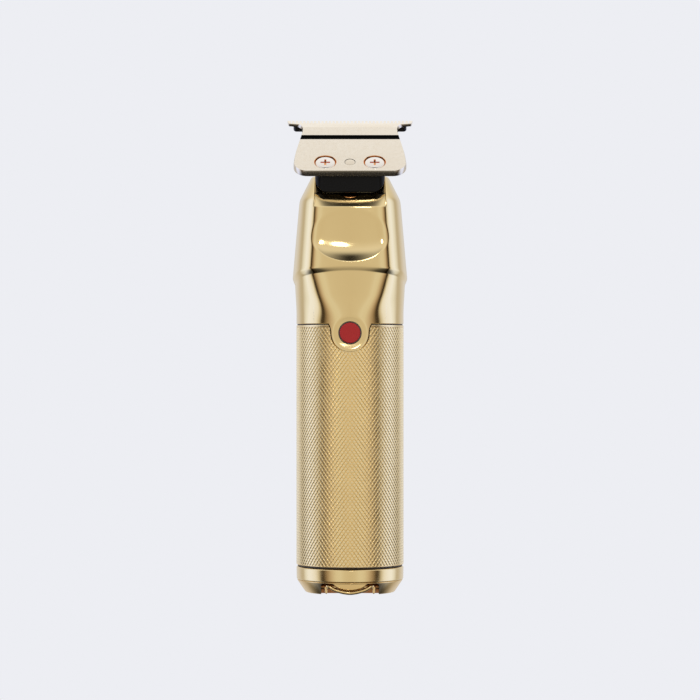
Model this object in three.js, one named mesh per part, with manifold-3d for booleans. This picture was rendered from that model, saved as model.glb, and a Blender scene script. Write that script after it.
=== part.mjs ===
// Cordless T-blade hair trimmer. Millimetres, +Z up, origin at the centre of its flat bottom.
// The front, with the button and the thumb dish, faces -Y. The blade plate leans back at the top.
import * as THREE from 'three';
import { mergeVertices } from 'three/addons/utils/BufferGeometryUtils.js';
import Module from 'manifold-3d';

const wasm = await Module();
wasm.setup();

// ---- Driving dimensions -------------------------------------------------------------------

const BODY_RADIUS = 17;
const AIR = 0.3; // gap between neighbours that do not move
const FINE = 48; // sides of the large round parts
const PLAIN = 20; // sides of the inner round parts

const CAP = {
  bottomRadius: 14.15, topRadius: 16.85, height: 4.6, spigotRadius: 13.5, spigotTop: 13.5,
  hollowRadius: 12.1, floor: 5.6,
};
const NOTCH = { halfWidth: 9.05, height: 3.9, back: -5.5, bossHalfWidth: 5.8, bossBottom: 1.25, bossFront: -12.9 };
const LOOP = {
  pivotY: -7, pivotZ: 2.2, pinRadius: 0.8, pinHalfLength: 10.2, eyeRadius: 1.5, eyeBore: 1.0,
  armX: 7.6, wire: 0.6, barY: -13.75, barZ: 1.05, shoulderZ: 3.0,
};
const SOCKET = { y: 4, radius: 3.6, bore: 1.75, mouth: 0.2, boreTop: 10, top: 12.5, pin: 0.55 };
const CAP_SCREW = { x: 9.2, y: 5, headRadius: 1.7, headZ: [0.5, 1.8], shank: 0.9, top: 17.2 };
const RING = { z: [4.75, 8.25], inner: 13.9, edge: 0.45 };
const END_SEAL = { z: [8.35, 8.75], outer: 16.6, inner: 15.0 };
const SLEEVE = { z: [8.85, 84.6], inner: 15.5, chamfer: 0.5 };
const NECK_SEAL = { z: [84.65, 85.05], outer: 16.7, inner: 15.5 };

const HEAD = {
  bottom: 85.1, top: 131.6, bend: 124.1, rim: 130.8,
  lowerWidth: [17.0, 17.5], lowerFront: [17.0, 15.7],
  upperWidth: [18.2, 16.05], upperFront: [16.4, 13.585], rimWidth: 12.6, topWidth: 12.2,
  stepZ: [97.4, 99.3], archLift: 3.95, archEnd: 118,
  creaseX: 11.8, cheekAngle: 50.6, sideAngle: 80, sharpness: 24,
};
const SPIGOT = { outer: 15.2, inner: 13.6, bottom: 72 };
const CAVITY = { lowerTop: 95, radius: [12.6, 10.7], z: [90, 104, 118.4], boreRadius: 4 };
const SHOULDER = { halfWidth: 10.7, y: -13.9, z: 121.7 };
const POCKET = { y: -8.55, z: 127.05, radius: 3.6, depth: 1.6 };
const DISH = { z: 112.3, halfWidth: 12.1, halfHeight: 7.7, depth: 2.5, bulge: 4 };
const LOBE = { z: 82.1, radius: 5.8, flareX: 7.4, flareZ: 85.6, inner: 15.0 };
const BUTTON = {
  radius: 3.1, front: -16.9, flangeRadius: 4.1, flangeY: [-12.6, -11.9], bezel: [3.25, 3.55],
  bore: 3.65, dimpleRadius: 4.6, dimpleDepth: 0.9,
};

const MOTOR_Y = 2;
const MOTOR = { radius: 10, z: [90.5, 117], bell: [88.2, 90.2], shaft: 1.0, shaftTop: 132.4, bore: 1.35 };
const CAM = { radius: 3.2, z: [130.5, 134], throw: 1, pinRadius: 0.7, pinTop: 139.6 };
const BUSH = { radius: 1.5, bore: 0.95, z: [134.8, 139.2] };

const BLADE = { y: -15.2, z: 132.6, lean: 40, length: 28.2, halfWidth: 20, thickness: 2.1, toothPlate: 1.4 };
const TEETH = { pitch: 1.17, count: 34, gap: 0.55, depth: 1.9 };
const CUTTER = { w: [-3.75, -1.5], bodyHalf: 13, v: [16.4, 26.0, 27.9], wingHalf: 18.1 };
const BLADE_SCREW = { x: 7.75, v: 4.8, headRadius: 3.2, recess: 3.4, shank: 1.25, bottom: -6.5 };
const BRACKET_SCREW = { x: 4.4, v: 7.6, headRadius: 1.9, shank: 1.0, length: 9.5 };
const BRACKET = { halfWidth: 10.85, front: -12.8, bottom: 126, back: -3.83, corner: 3.4 };
const YOKE = { halfWidth: 6.5, v: [12.6, 24], w: [-8, -3.95], slotHalf: 3.9, slotY: [-0.8, 4.9], roof: 139.9 };

const CELL = { radius: 9, z: [19.5, 69.5] };
const CHASSIS = { outer: 15.1, inner: 13.4, z: [15, 71.5], plate: 2.9, deck: [71.0, 73.4], deckRadius: 13.2 };
const BOARD = { halfWidth: 8.5, y: [-8.2, -7.0], z: [74.5, 87.5] };

// ---- Helpers --------------------------------------------------------------------------------

const turn = THREE.MathUtils.degToRad;
const mix = THREE.MathUtils.lerp;
const vec = (x, y, z) => new THREE.Vector3(x, y, z);

/** Turns a closed three.js geometry into a manifold solid whose faces point out. */
function solid(geometry) {
  const bare = geometry.clone();
  bare.deleteAttribute('normal');
  bare.deleteAttribute('uv');
  const merged = mergeVertices(bare, 1e-4);
  const points = merged.getAttribute('position').array;
  const corners = [];
  let volume = 0;
  for (let i = 0; i < merged.index.count; i += 3) {
    const [a, b, c] = [0, 1, 2].map((k) => merged.index.getX(i + k));
    if (a === b || b === c || a === c) continue;
    corners.push(a, b, c);
    const [p, q, r] = [a, b, c].map((k) => vec(...points.slice(3 * k, 3 * k + 3)));
    volume += p.dot(q.cross(r));
  }
  const triVerts = new Uint32Array(volume < 0 ? corners.reverse() : corners);
  const vertProperties = new Float32Array(points);
  return new wasm.Manifold(new wasm.Mesh({ numProp: 3, vertProperties, triVerts }));
}

/** Wraps a solid as a named three.js mesh. */
function node(name, body, material) {
  const { vertProperties, triVerts } = body.getMesh();
  const geometry = new THREE.BufferGeometry();
  geometry.setAttribute('position', new THREE.BufferAttribute(vertProperties, 3));
  geometry.setIndex(new THREE.BufferAttribute(triVerts, 1));
  geometry.computeVertexNormals();
  const mesh = new THREE.Mesh(geometry, material);
  mesh.name = name;
  return mesh;
}

/** A profile of [radius, height] points turned about a vertical axis at (x, y). */
function turned(profile, sides = PLAIN, x = 0, y = 0) {
  const points = profile.map(([r, z]) => new THREE.Vector2(r, z));
  return new THREE.LatheGeometry(points, sides).rotateX(Math.PI / 2).translate(x, y, 0);
}

/** A ring, or a plain disc where inner is 0, with a vertical axis at (x, y). */
function ring(inner, outer, [z0, z1], sides = PLAIN, x = 0, y = 0) {
  return turned([[inner, z0], [outer, z0], [outer, z1], [inner, z1], [inner, z0]], sides, x, y);
}

const rod = (radius, z, x = 0, y = 0, sides = PLAIN) => ring(0, radius, z, sides, x, y);

function block([x0, x1], [y0, y1], [z0, z1]) {
  return new THREE.BoxGeometry(x1 - x0, y1 - y0, z1 - z0)
    .translate((x0 + x1) / 2, (y0 + y1) / 2, (z0 + z1) / 2);
}

const outline = (points) => new THREE.Shape(points.map(([a, b]) => new THREE.Vector2(a, b)));

/** A flat outline pushed out along Z. */
function slab(shape, [z0, z1], curveSegments = 10) {
  const options = { depth: z1 - z0, bevelEnabled: false, curveSegments };
  return new THREE.ExtrudeGeometry(shape, options).translate(0, 0, z0);
}

/** An outline drawn in (y, z), pushed out along X to both sides. */
function sideSlab(shape, halfWidth) {
  const basis = new THREE.Matrix4().makeBasis(vec(0, 1, 0), vec(0, 0, 1), vec(1, 0, 0));
  return slab(shape, [-halfWidth, halfWidth]).applyMatrix4(basis);
}

/** An outline drawn in (x, z), pushed out along Y. */
function frontSlab(shape, [y0, y1], curveSegments = 10) {
  const basis = new THREE.Matrix4().makeBasis(vec(1, 0, 0), vec(0, 0, 1), vec(0, -1, 0));
  return slab(shape, [-y1, -y0], curveSegments).applyMatrix4(basis);
}

/** A rod along Y at (x, z). */
function crossRod(radius, [y0, y1], x, z, sides = PLAIN) {
  return rod(radius, [-y1, -y0], 0, 0, sides).rotateX(Math.PI / 2).translate(x, 0, z);
}

/** A round wire along a smooth curve through the given points. */
function wire(points, radius, steps, sides = 6) {
  const section = new THREE.Shape();
  section.absarc(0, 0, radius, 0, 2 * Math.PI);
  const extrudePath = new THREE.CatmullRomCurve3(points, false, 'centripetal');
  return new THREE.ExtrudeGeometry(section, { steps, extrudePath, curveSegments: sides / 2, bevelEnabled: false });
}

/** Closed skin over rings of equal length, with a fan over each end. */
function skin(rings) {
  const count = rings[0].length;
  const points = rings.flat();
  const index = [];
  for (let row = 0; row + 1 < rings.length; row += 1) {
    for (let i = 0; i < count; i += 1) {
      const [a, b] = [row * count + i, row * count + ((i + 1) % count)];
      index.push(a, b, b + count, a, b + count, a + count);
    }
  }
  [rings[0], rings[rings.length - 1]].forEach((rim, end) => {
    const start = end ? (rings.length - 1) * count : 0;
    const hub = points.push([0, 0, rim.reduce((sum, p) => sum + p[2], 0) / count]) - 1;
    for (let i = 0; i < count; i += 1) {
      const [a, b] = [start + i, start + ((i + 1) % count)];
      index.push(...(end ? [a, b, hub] : [b, a, hub]));
    }
  });
  const geometry = new THREE.BufferGeometry();
  geometry.setAttribute('position', new THREE.Float32BufferAttribute(points.flat(), 3));
  geometry.setIndex(index);
  return geometry;
}

/** From the blade's own frame, where Y runs up the plate and Z out of its face, to the trimmer's. */
function onBlade(geometry) {
  return geometry.rotateX(turn(BLADE.lean)).translate(0, BLADE.y, BLADE.z);
}

/** From the trimmer's frame to the blade's. */
function toBlade(geometry) {
  return geometry.translate(0, -BLADE.y, -BLADE.z).rotateX(-turn(BLADE.lean));
}

/** From a frame whose Z is the shoulder's normal, with its origin at the pocket, to the trimmer's. */
function onShoulder(geometry) {
  return geometry.rotateX(Math.PI / 4).translate(0, POCKET.y, POCKET.z);
}

// ---- Finishes -------------------------------------------------------------------------------

const finish = (color, metalness, roughness) => new THREE.MeshStandardMaterial({ color, metalness, roughness });
const gold = finish(0xd8bc86, 0.95, 0.3);
const polishedGold = finish(0xe4cf9f, 0.95, 0.12);
const darkGold = finish(0x8a7048, 0.95, 0.35);
const copper = finish(0xb5652a, 0.95, 0.3);
const steel = finish(0xb8babd, 0.9, 0.35);
const darkChrome = finish(0x3a3632, 0.95, 0.2);
const blackSteel = finish(0x17171a, 0.8, 0.4);
const blackPlastic = finish(0x141312, 0.0, 0.4);
const rubber = finish(0x101010, 0.0, 0.8);
const redPlastic = finish(0xa53333, 0.0, 0.35);
const boardGreen = finish(0x1f5a38, 0.0, 0.5);
const cellWrap = finish(0x3b5f8f, 0.0, 0.4);
const bronze = finish(0x9a6f3c, 0.9, 0.4);
const redWire = finish(0xb02020, 0.0, 0.5);

// ---- Foot: cap, loop, ring, seal, socket ------------------------------------------------------

function capScrewHoles(radius, z) {
  return [-1, 1].map((side) => solid(rod(radius, z, side * CAP_SCREW.x, CAP_SCREW.y, 20)));
}

/** Conical foot with a spigot, hollow from above, and a front notch with a boss for the loop. */
function endCap() {
  const { bottomRadius, topRadius, height, spigotRadius, spigotTop, hollowRadius, floor } = CAP;
  const edge = 0.35;
  let body = solid(turned([
    [0, 0], [bottomRadius - edge, 0], [bottomRadius, edge], [topRadius, height], [spigotRadius, height],
    [spigotRadius, spigotTop], [0, spigotTop],
  ], FINE));
  body = body.subtract(solid(rod(hollowRadius, [floor, spigotTop + 1])));
  const { halfWidth, height: top, back, bossHalfWidth, bossBottom, bossFront } = NOTCH;
  const notch = solid(block([-halfWidth, halfWidth], [-BODY_RADIUS - 1, back], [-1, top]));
  const boss = new THREE.Shape();
  boss.moveTo(-bossHalfWidth, top + 0.5);
  boss.lineTo(-bossHalfWidth, top);
  boss.quadraticCurveTo(0, 2 * bossBottom - top, bossHalfWidth, top);
  boss.lineTo(bossHalfWidth, top + 0.5);
  body = body.subtract(notch).add(solid(frontSlab(boss, [bossFront, back + 0.5])));
  const bore = LOOP.pinHalfLength + AIR;
  body = body.subtract(solid(crossPin(LOOP.pinRadius + AIR, bore)));
  body = body.subtract(solid(rod(SOCKET.radius + AIR, [-1, floor + 1], 0, SOCKET.y)));
  for (const hole of capScrewHoles(CAP_SCREW.shank + AIR, [-1, floor + 1])) body = body.subtract(hole);
  for (const seat of capScrewHoles(CAP_SCREW.headRadius + AIR, [-1, CAP_SCREW.headZ[1] + AIR])) {
    body = body.subtract(seat);
  }
  return node('end_cap', body, darkGold);
}

/** A rod along X on the loop's pivot. */
function crossPin(radius, halfLength, x = 0) {
  return rod(radius, [-halfLength, halfLength], 0, 0, 20).rotateY(Math.PI / 2)
    .translate(x, LOOP.pivotY, LOOP.pivotZ);
}

/** Stirrup of round wire: two eyes on the pin, two arms and a front bar that dips in the middle. */
function hangLoop() {
  const { armX, barY, barZ, shoulderZ, pivotY, pivotZ, eyeRadius, eyeBore } = LOOP;
  const half = [
    vec(armX, pivotY - 1.1, pivotZ), vec(armX, pivotY - 3.5, pivotZ + 0.3), vec(armX - 0.2, barY + 1.4, shoulderZ),
    vec(armX - 1.1, barY + 0.25, shoulderZ - 0.2), vec(armX - 3.4, barY, mix(barZ, shoulderZ, 0.35)),
  ];
  const mirrored = half.map((p) => vec(-p.x, p.y, p.z)).reverse();
  let body = solid(wire([...half, vec(0, barY, barZ), ...mirrored], LOOP.wire, 26, 8));
  for (const side of [-1, 1]) body = body.add(solid(crossPin(eyeRadius, LOOP.wire, side * armX)));
  body = body.subtract(solid(crossPin(eyeBore, armX + 2)));
  return node('hang_loop', body, darkGold);
}

const loopPin = () => node('loop_pin', solid(crossPin(LOOP.pinRadius, LOOP.pinHalfLength)), darkGold);

function endRing() {
  const { z: [z0, z1], inner, edge } = RING;
  const profile = [
    [inner, z0], [BODY_RADIUS - edge, z0], [BODY_RADIUS, z0 + edge], [BODY_RADIUS, z1 - edge],
    [BODY_RADIUS - edge, z1], [inner, z1], [inner, z0],
  ];
  return node('end_ring', solid(turned(profile, FINE)), polishedGold);
}

const endSeal = () => node('end_seal', solid(ring(END_SEAL.inner, END_SEAL.outer, END_SEAL.z, FINE)), rubber);

/** Round barrel inlet with its centre pin, open at the bottom. */
function chargingSocket() {
  const { y, radius, bore, mouth, boreTop, top, pin } = SOCKET;
  const profile = [
    [0, mouth + 1.5], [pin, mouth + 1.5], [pin, boreTop], [bore, boreTop], [bore, mouth], [radius, mouth],
    [radius, top], [0, top],
  ];
  return node('charging_socket', solid(turned(profile, PLAIN, 0, y)), blackPlastic);
}

function capScrew(name, side) {
  const { x, y, headRadius, headZ: [low, high], shank, top } = CAP_SCREW;
  const profile = [[0, low], [headRadius, low], [headRadius, high], [shank, high], [shank, top], [0, top]];
  const cross = [[0.3, 1.1], [1.1, 0.3]].map(([a, b]) =>
    solid(block([side * x - a, side * x + a], [y - b, y + b], [low - 1, low + 0.6])));
  const body = solid(turned(profile, 20, side * x, y)).subtract(cross[0]).subtract(cross[1]);
  return node(name, body, steel);
}

// ---- Barrel -----------------------------------------------------------------------------------

/** Front outline of the head's tongue over the barrel, grown by a margin. */
function lobeOutline(margin) {
  const { z, radius, flareX, flareZ } = LOBE;
  const r = radius + margin;
  const shape = new THREE.Shape();
  shape.moveTo(-flareX - margin, flareZ);
  shape.quadraticCurveTo(-r - 0.1, flareZ - 1.1, -r, z);
  shape.absarc(0, z, r, Math.PI, 2 * Math.PI);
  shape.quadraticCurveTo(r + 0.1, flareZ - 1.1, flareX + margin, flareZ);
  return shape;
}

const lobeBlock = (margin) => solid(frontSlab(lobeOutline(margin), [-BODY_RADIUS - 2, -8], 8));

function knurledSleeve() {
  const { z: [z0, z1], inner, chamfer } = SLEEVE;
  const profile = [
    [inner, z0], [BODY_RADIUS - chamfer, z0], [BODY_RADIUS, z0 + chamfer], [BODY_RADIUS, z1 - chamfer],
    [BODY_RADIUS - chamfer, z1], [inner, z1], [inner, z0],
  ];
  return node('knurled_sleeve', solid(turned(profile, FINE)).subtract(lobeBlock(0.35)), gold);
}

function neckSeal() {
  const band = solid(ring(NECK_SEAL.inner, NECK_SEAL.outer, NECK_SEAL.z, FINE));
  return node('neck_seal', band.subtract(lobeBlock(0.35)), rubber);
}

// ---- Head -------------------------------------------------------------------------------------

/**
 * Radius of a rounded ten-sided section at an angle from the front: front and back faces, four
 * cheeks and four sides, whose corners a power mean rounds over. The two sides that meet at the
 * half-width are set out by what the mean takes off there.
 */
function sectionRadius(angle, front, width) {
  const { creaseX, cheekAngle, sideAngle, sharpness } = HEAD;
  const [cheek, side] = [turn(cheekAngle), turn(sideAngle)];
  const scale = width / HEAD.upperWidth[0];
  const faces = [
    [0, front],
    [cheek, front * Math.cos(cheek) + creaseX * scale * Math.sin(cheek)],
    [side, width * Math.sin(side) * 2 ** (1 / sharpness)],
  ];
  const folded = Math.acos(Math.abs(Math.cos(angle)));
  let sum = 0;
  for (const [normal, distance] of faces) {
    for (const offset of [folded - normal, folded + normal, Math.PI - folded - normal]) {
      const share = Math.cos(offset) / distance;
      if (share > 0 && !(normal === 0 && offset !== folded)) sum += share ** sharpness;
    }
  }
  return sum ** (-1 / sharpness);
}

/** Half-width and front reach of the head at a height, below or above the step. */
function headReach(z, upper) {
  const { bottom, bend, rim, top, stepZ, lowerWidth, lowerFront, upperWidth, upperFront } = HEAD;
  if (!upper) {
    const rise = z - bottom;
    return {
      width: mix(...lowerWidth, rise / (stepZ[0] - bottom)),
      front: mix(...lowerFront, rise / (stepZ[0] + HEAD.archLift - bottom)),
    };
  }
  const taper = (z - stepZ[1]) / (bend - stepZ[1]);
  const frontTaper = (z - stepZ[1] - HEAD.archLift) / (bend - stepZ[1] - HEAD.archLift);
  if (z <= bend) return { width: mix(...upperWidth, taper), front: mix(...upperFront, frontTaper) };
  const width = z <= rim
    ? mix(upperWidth[1], HEAD.rimWidth, (z - bend) / (rim - bend))
    : mix(HEAD.rimWidth, HEAD.topWidth, (z - rim) / (top - rim));
  return { width, front: (upperFront[1] * width) / upperWidth[1] };
}

/** One ring of the head. Rows near the step ride up over the front and the back in an arch. */
function headRing(row) {
  const { bottom, stepZ, archLift, archEnd } = HEAD;
  const rise = row <= stepZ[0] ? (row - bottom) / (stepZ[0] - bottom) : (archEnd - row) / (archEnd - stepZ[1]);
  const weight = THREE.MathUtils.clamp(rise, 0, 1);
  return Array.from({ length: FINE }, (_, i) => {
    const angle = (2 * Math.PI * i) / FINE;
    const z = row + archLift * Math.abs(Math.cos(angle)) * weight;
    const { width, front } = headReach(z, row >= stepZ[1]);
    const squareness = THREE.MathUtils.smoothstep(z, bottom, stepZ[1]);
    const radius = mix(BODY_RADIUS, sectionRadius(angle, front, width), squareness);
    return [radius * Math.sin(angle), -radius * Math.cos(angle), z];
  });
}

function headOuter() {
  const { bottom, stepZ, bend, rim, top } = HEAD;
  const rows = [bottom, 88, 91, 94, 96, ...stepZ, 102, 105.5, 109, 113, 117, 121, bend, 127.4, rim, top];
  return solid(skin(rows.map(headRing)));
}

/** Room inside the head for the board, the motor and its shaft. */
function headCavities() {
  const { lowerTop, radius: [wide, narrow], z: [z0, z1, z2], boreRadius } = CAVITY;
  const bay = [[0, z0], [wide, z0], [wide, z1], [narrow, z2], [0, z2]];
  return [
    rod(SPIGOT.inner, [SPIGOT.bottom - 1, lowerTop], 0, 0, 32),
    turned(bay, 32, 0, MOTOR_Y),
    rod(boreRadius, [z2 - 1, HEAD.top + 1], 0, MOTOR_Y),
  ].map(solid);
}

/** The front shoulder: a channel with upright walls and a floor that slopes up and back. */
function shoulderChannel() {
  const { halfWidth, y, z } = SHOULDER;
  const reach = HEAD.top + 2 - z;
  return solid(sideSlab(outline([[y - 6, z - 6], [y + reach, z + reach], [y - 6, z + reach]]), halfWidth));
}

/** The thumb dish: an ellipsoid whose cut with the front panel is the dish's rim. */
function thumbDish() {
  const { z, halfWidth, halfHeight, depth, bulge } = DISH;
  const spread = Math.sqrt(1 - ((bulge - depth) / bulge) ** 2);
  const { front } = headReach(z, true);
  const tilt = Math.atan2(HEAD.upperFront[0] - HEAD.upperFront[1], HEAD.bend - HEAD.stepZ[1] - HEAD.archLift);
  return solid(new THREE.SphereGeometry(1, 24, 16)
    .scale(halfWidth / spread, bulge, halfHeight / spread)
    .rotateX(-tilt)
    .translate(0, -front - (bulge - depth), z));
}

/** The shallow round hollow that the button sits in: a turned bowl whose axis runs along Y. */
function buttonDimple() {
  const { dimpleRadius, dimpleDepth } = BUTTON;
  const sphere = (dimpleRadius ** 2 + dimpleDepth ** 2) / (2 * dimpleDepth);
  const bowl = [0, 0.45, 0.8, 1.15].map((share) => {
    const r = share * dimpleRadius;
    return [r, BODY_RADIUS - dimpleDepth + sphere - Math.sqrt(sphere ** 2 - r ** 2)];
  });
  const rim = [[1.15 * dimpleRadius, BODY_RADIUS + 2], [0, BODY_RADIUS + 2]];
  return solid(turned([...bowl, ...rim], 24).rotateX(Math.PI / 2).translate(0, 0, LOBE.z));
}

function bracketScrewHole(side, radius, from, to) {
  const { x, v } = BRACKET_SCREW;
  return solid(onBlade(rod(radius, [from, to], side * x, v, 20)));
}

function headHousing() {
  const tongue = solid(ring(LOBE.inner, BODY_RADIUS, [LOBE.z - 8, HEAD.bottom + 0.4], FINE))
    .intersect(lobeBlock(0));
  let body = headOuter()
    .add(solid(rod(SPIGOT.outer, [SPIGOT.bottom, HEAD.bottom + 1], 0, 0, FINE)))
    .add(tongue);
  const pocketHole = solid(onShoulder(rod(1.7, [-7.5, 1])));
  const pocket = solid(onShoulder(rod(POCKET.radius, [-POCKET.depth, 4])));
  const tools = [
    ...headCavities(), shoulderChannel(), thumbDish(), buttonDimple(), pocket, pocketHole,
    solid(crossRod(BUTTON.bore, [-BODY_RADIUS - 1, -10], 0, LOBE.z)),
    ...[-1, 1].map((side) => bracketScrewHole(side, BRACKET_SCREW.shank + AIR, -13, -3)),
  ];
  for (const tool of tools) body = body.subtract(tool);
  return node('head_housing', body, gold);
}

function buttonBezel() {
  const [inner, outer] = BUTTON.bezel;
  const tube = solid(crossRod(outer, [-16.75, -14.9], 0, LOBE.z));
  return node('button_bezel', tube.subtract(solid(crossRod(inner, [-18, -14], 0, LOBE.z))), darkChrome);
}

/** Push button: a domed front, a flange behind the wall and a stem that meets the switch. */
function powerButton() {
  const { radius, front, flangeRadius, flangeY: [near, far] } = BUTTON;
  const profile = [
    [0, -front], [radius - 0.6, -front], [radius, -front - 0.5], [radius, -near], [flangeRadius, -near],
    [flangeRadius, -far], [1.2, -far], [1.2, -far - 0.3], [0, -far - 0.3],
  ];
  const body = solid(turned(profile).rotateX(Math.PI / 2).translate(0, 0, LOBE.z));
  return node('power_button', body, redPlastic);
}

/** A pan-headed screw with a cross recess, whose head is up and whose axis is Z. */
function crossScrew(headRadius, headTop, headBottom, shank, bottom, sides = 16) {
  const crown = headTop - 0.35;
  const profile = [
    [0, bottom], [shank, bottom], [shank, headBottom], [headRadius, headBottom], [headRadius, crown],
    [headRadius - 0.5, headTop], [0, headTop],
  ];
  const arm = headRadius * 0.6;
  const floor = mix(headTop, headBottom, 0.7);
  const body = solid(turned(profile, sides));
  const slots = [[0.4, arm], [arm, 0.4]].map(([a, b]) => solid(block([-a, a], [-b, b], [floor, headTop + 1])));
  return body.subtract(slots[0]).subtract(slots[1]);
}

function neckScrew() {
  const mesh = node('neck_screw', crossScrew(3.2, -0.25, -1.3, 1.35, -7), copper);
  mesh.rotation.x = Math.PI / 4;
  mesh.position.set(0, POCKET.y, POCKET.z);
  return mesh;
}

/** Black block that carries the blade: leaning top, upright front, sloping underside. */
function headBracket() {
  const { halfWidth, front, bottom, back, corner } = BRACKET;
  const lean = turn(BLADE.lean);
  const under = -BLADE.thickness - 0.1;
  const seatAt = (y) => BLADE.z + (under + (y - BLADE.y) * Math.sin(lean)) / Math.cos(lean);
  const slope = SHOULDER.z - SHOULDER.y + AIR * Math.SQRT2;
  const profile = outline([
    [front, bottom], [bottom - slope, bottom], [back - 0.6, back - 0.6 + slope], [back, back + slope],
    [back, seatAt(back)], [front, seatAt(front)],
  ]);
  const face = new THREE.Shape();
  face.moveTo(-halfWidth, bottom + 20);
  face.lineTo(-halfWidth, bottom + corner);
  face.absarc(-halfWidth + corner, bottom + corner, corner, Math.PI, 1.5 * Math.PI);
  face.lineTo(halfWidth - corner, bottom);
  face.absarc(halfWidth - corner, bottom + corner, corner, 1.5 * Math.PI, 2 * Math.PI);
  face.lineTo(halfWidth, bottom + 20);
  let body = solid(sideSlab(profile, halfWidth + 1)).intersect(solid(frontSlab(face, [front - 5, back + 5], 6)));
  const wall = SHOULDER.halfWidth - AIR;
  for (const side of [-1, 1]) {
    const inRecess = block([side > 0 ? wall : -30, side > 0 ? 30 : -wall], [front - 5, back + 5], [110, HEAD.top + AIR]);
    body = body.subtract(solid(inRecess));
    const { x, v } = BLADE_SCREW;
    body = body.subtract(solid(onBlade(rod(BLADE_SCREW.shank + AIR, [-7, 1], side * x, v, 20))));
    body = body.subtract(bracketScrewHole(side, BRACKET_SCREW.shank + AIR, -13, 1));
    body = body.subtract(bracketScrewHole(side, BRACKET_SCREW.headRadius + AIR, -4.4, 1));
  }
  body = body.subtract(solid(onBlade(rod(1.9, [-4.8, 1], 0, BLADE_SCREW.v, 20))));
  return node('head_bracket', body, blackPlastic);
}

// ---- Blade set, in the blade's own frame ------------------------------------------------------

/** The plate's outline, from its foot round both wings, without its teeth. */
function bladeOutline() {
  const { length, halfWidth } = BLADE;
  const shape = new THREE.Shape();
  shape.moveTo(-13.4, 0);
  shape.lineTo(13.4, 0);
  shape.quadraticCurveTo(17.5, 0, 17.45, 4.2);
  shape.quadraticCurveTo(17.1, 10, 15.9, 17);
  shape.lineTo(15.6, 19.6);
  shape.quadraticCurveTo(15.2, 21.6, 15.25, 23.2);
  shape.quadraticCurveTo(15.6, 26, 18.2, 26);
  shape.lineTo(halfWidth, 26);
  shape.lineTo(halfWidth, length);
  shape.lineTo(-halfWidth, length);
  shape.lineTo(-halfWidth, 26);
  shape.lineTo(-18.2, 26);
  shape.quadraticCurveTo(-15.6, 26, -15.25, 23.2);
  shape.quadraticCurveTo(-15.2, 21.6, -15.6, 19.6);
  shape.lineTo(-15.9, 17);
  shape.quadraticCurveTo(-17.1, 10, -17.45, 4.2);
  shape.quadraticCurveTo(-17.5, 0, -13.4, 0);
  return shape;
}

/** Gaps between teeth, as one comb-shaped solid that is cut away. */
function toothGaps(count, pitch, gap, tip, depth, w) {
  const points = [[-(count * pitch) / 2, tip + 1]];
  for (let i = 0; i < count - 1; i += 1) {
    const x = (i - (count - 2) / 2) * pitch;
    points.push([x - gap / 2, tip + 0.5], [x - gap / 2, tip - depth], [x + gap / 2, tip - depth], [x + gap / 2, tip + 0.5]);
  }
  points.push([(count * pitch) / 2, tip + 1]);
  return solid(slab(outline(points), w));
}

function fixedBlade() {
  const { length, thickness, toothPlate } = BLADE;
  let body = solid(slab(bladeOutline(), [-thickness, 0], 6));
  body = body.subtract(solid(block([-30, 30], [16, 30], [-4, -toothPlate])));
  body = body.subtract(solid(block([-30, 30], [17, 19.4], [-0.25, 1])));
  const bevel = outline([[-1, 1], [-1, -1.75], [1.75, 1]]);
  body = body.subtract(solid(sideSlab(bevel, 30)));
  const ramp = outline([[length - 4.5, 1], [length - 4.5, 0], [length + 1, -0.9], [length + 1, 1]]);
  body = body.subtract(solid(sideSlab(ramp, 30)));
  body = body.subtract(toothGaps(TEETH.count, TEETH.pitch, TEETH.gap, length, TEETH.depth, [-4, 2]));
  const { x, v, recess, shank } = BLADE_SCREW;
  for (const side of [-1, 1]) {
    body = body.subtract(solid(rod(recess, [-1.3, 1], side * x, v)));
    body = body.subtract(solid(rod(shank + AIR, [-4, 1], side * x, v, 20)));
  }
  body = body.subtract(solid(rod(1.9, [-4, 1], 0, v, 20)));
  return node('fixed_blade', body, gold);
}

function movingCutter() {
  const { w, bodyHalf, v: [low, wing, tip], wingHalf } = CUTTER;
  const shape = outline([
    [-bodyHalf, low], [bodyHalf, low], [bodyHalf, wing], [wingHalf - 0.6, wing], [wingHalf, wing + 0.6], [wingHalf, tip],
    [-wingHalf, tip], [-wingHalf, wing + 0.6], [-wingHalf + 0.6, wing], [-bodyHalf, wing],
  ]);
  const count = 31;
  const gaps = toothGaps(count, TEETH.pitch, TEETH.gap, tip, TEETH.depth - 0.4, [-6, 2]);
  return node('moving_cutter', solid(slab(shape, w)).subtract(gaps), blackSteel);
}

/** Block under the cutter with an upright slot for the crank pin's bush. */
function cutterYoke() {
  const { halfWidth, v, w, slotHalf, slotY, roof } = YOKE;
  const slot = toBlade(block([-slotHalf, slotHalf], slotY, [120, roof]));
  const body = solid(block([-halfWidth, halfWidth], v, w)).subtract(solid(slot));
  return node('cutter_yoke', body, blackPlastic);
}

function bladeScrew(name, side) {
  const { x, v, headRadius, shank, bottom } = BLADE_SCREW;
  const mesh = node(name, crossScrew(headRadius, -0.1, -1.1, shank, bottom), copper);
  mesh.position.set(side * x, v, 0);
  return mesh;
}

function bracketScrew(name, side) {
  const { x, v, headRadius, shank, length } = BRACKET_SCREW;
  const mesh = node(name, crossScrew(headRadius, -2.5, -3.9, shank, -2.5 - length, 20), steel);
  mesh.position.set(side * x, v, 0);
  return mesh;
}

function locatingPin() {
  const mesh = node('locating_pin', solid(rod(1.6, [-4.5, -0.15], 0, 0, 20)), gold);
  mesh.position.set(0, BLADE_SCREW.v, 0);
  return mesh;
}

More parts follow.
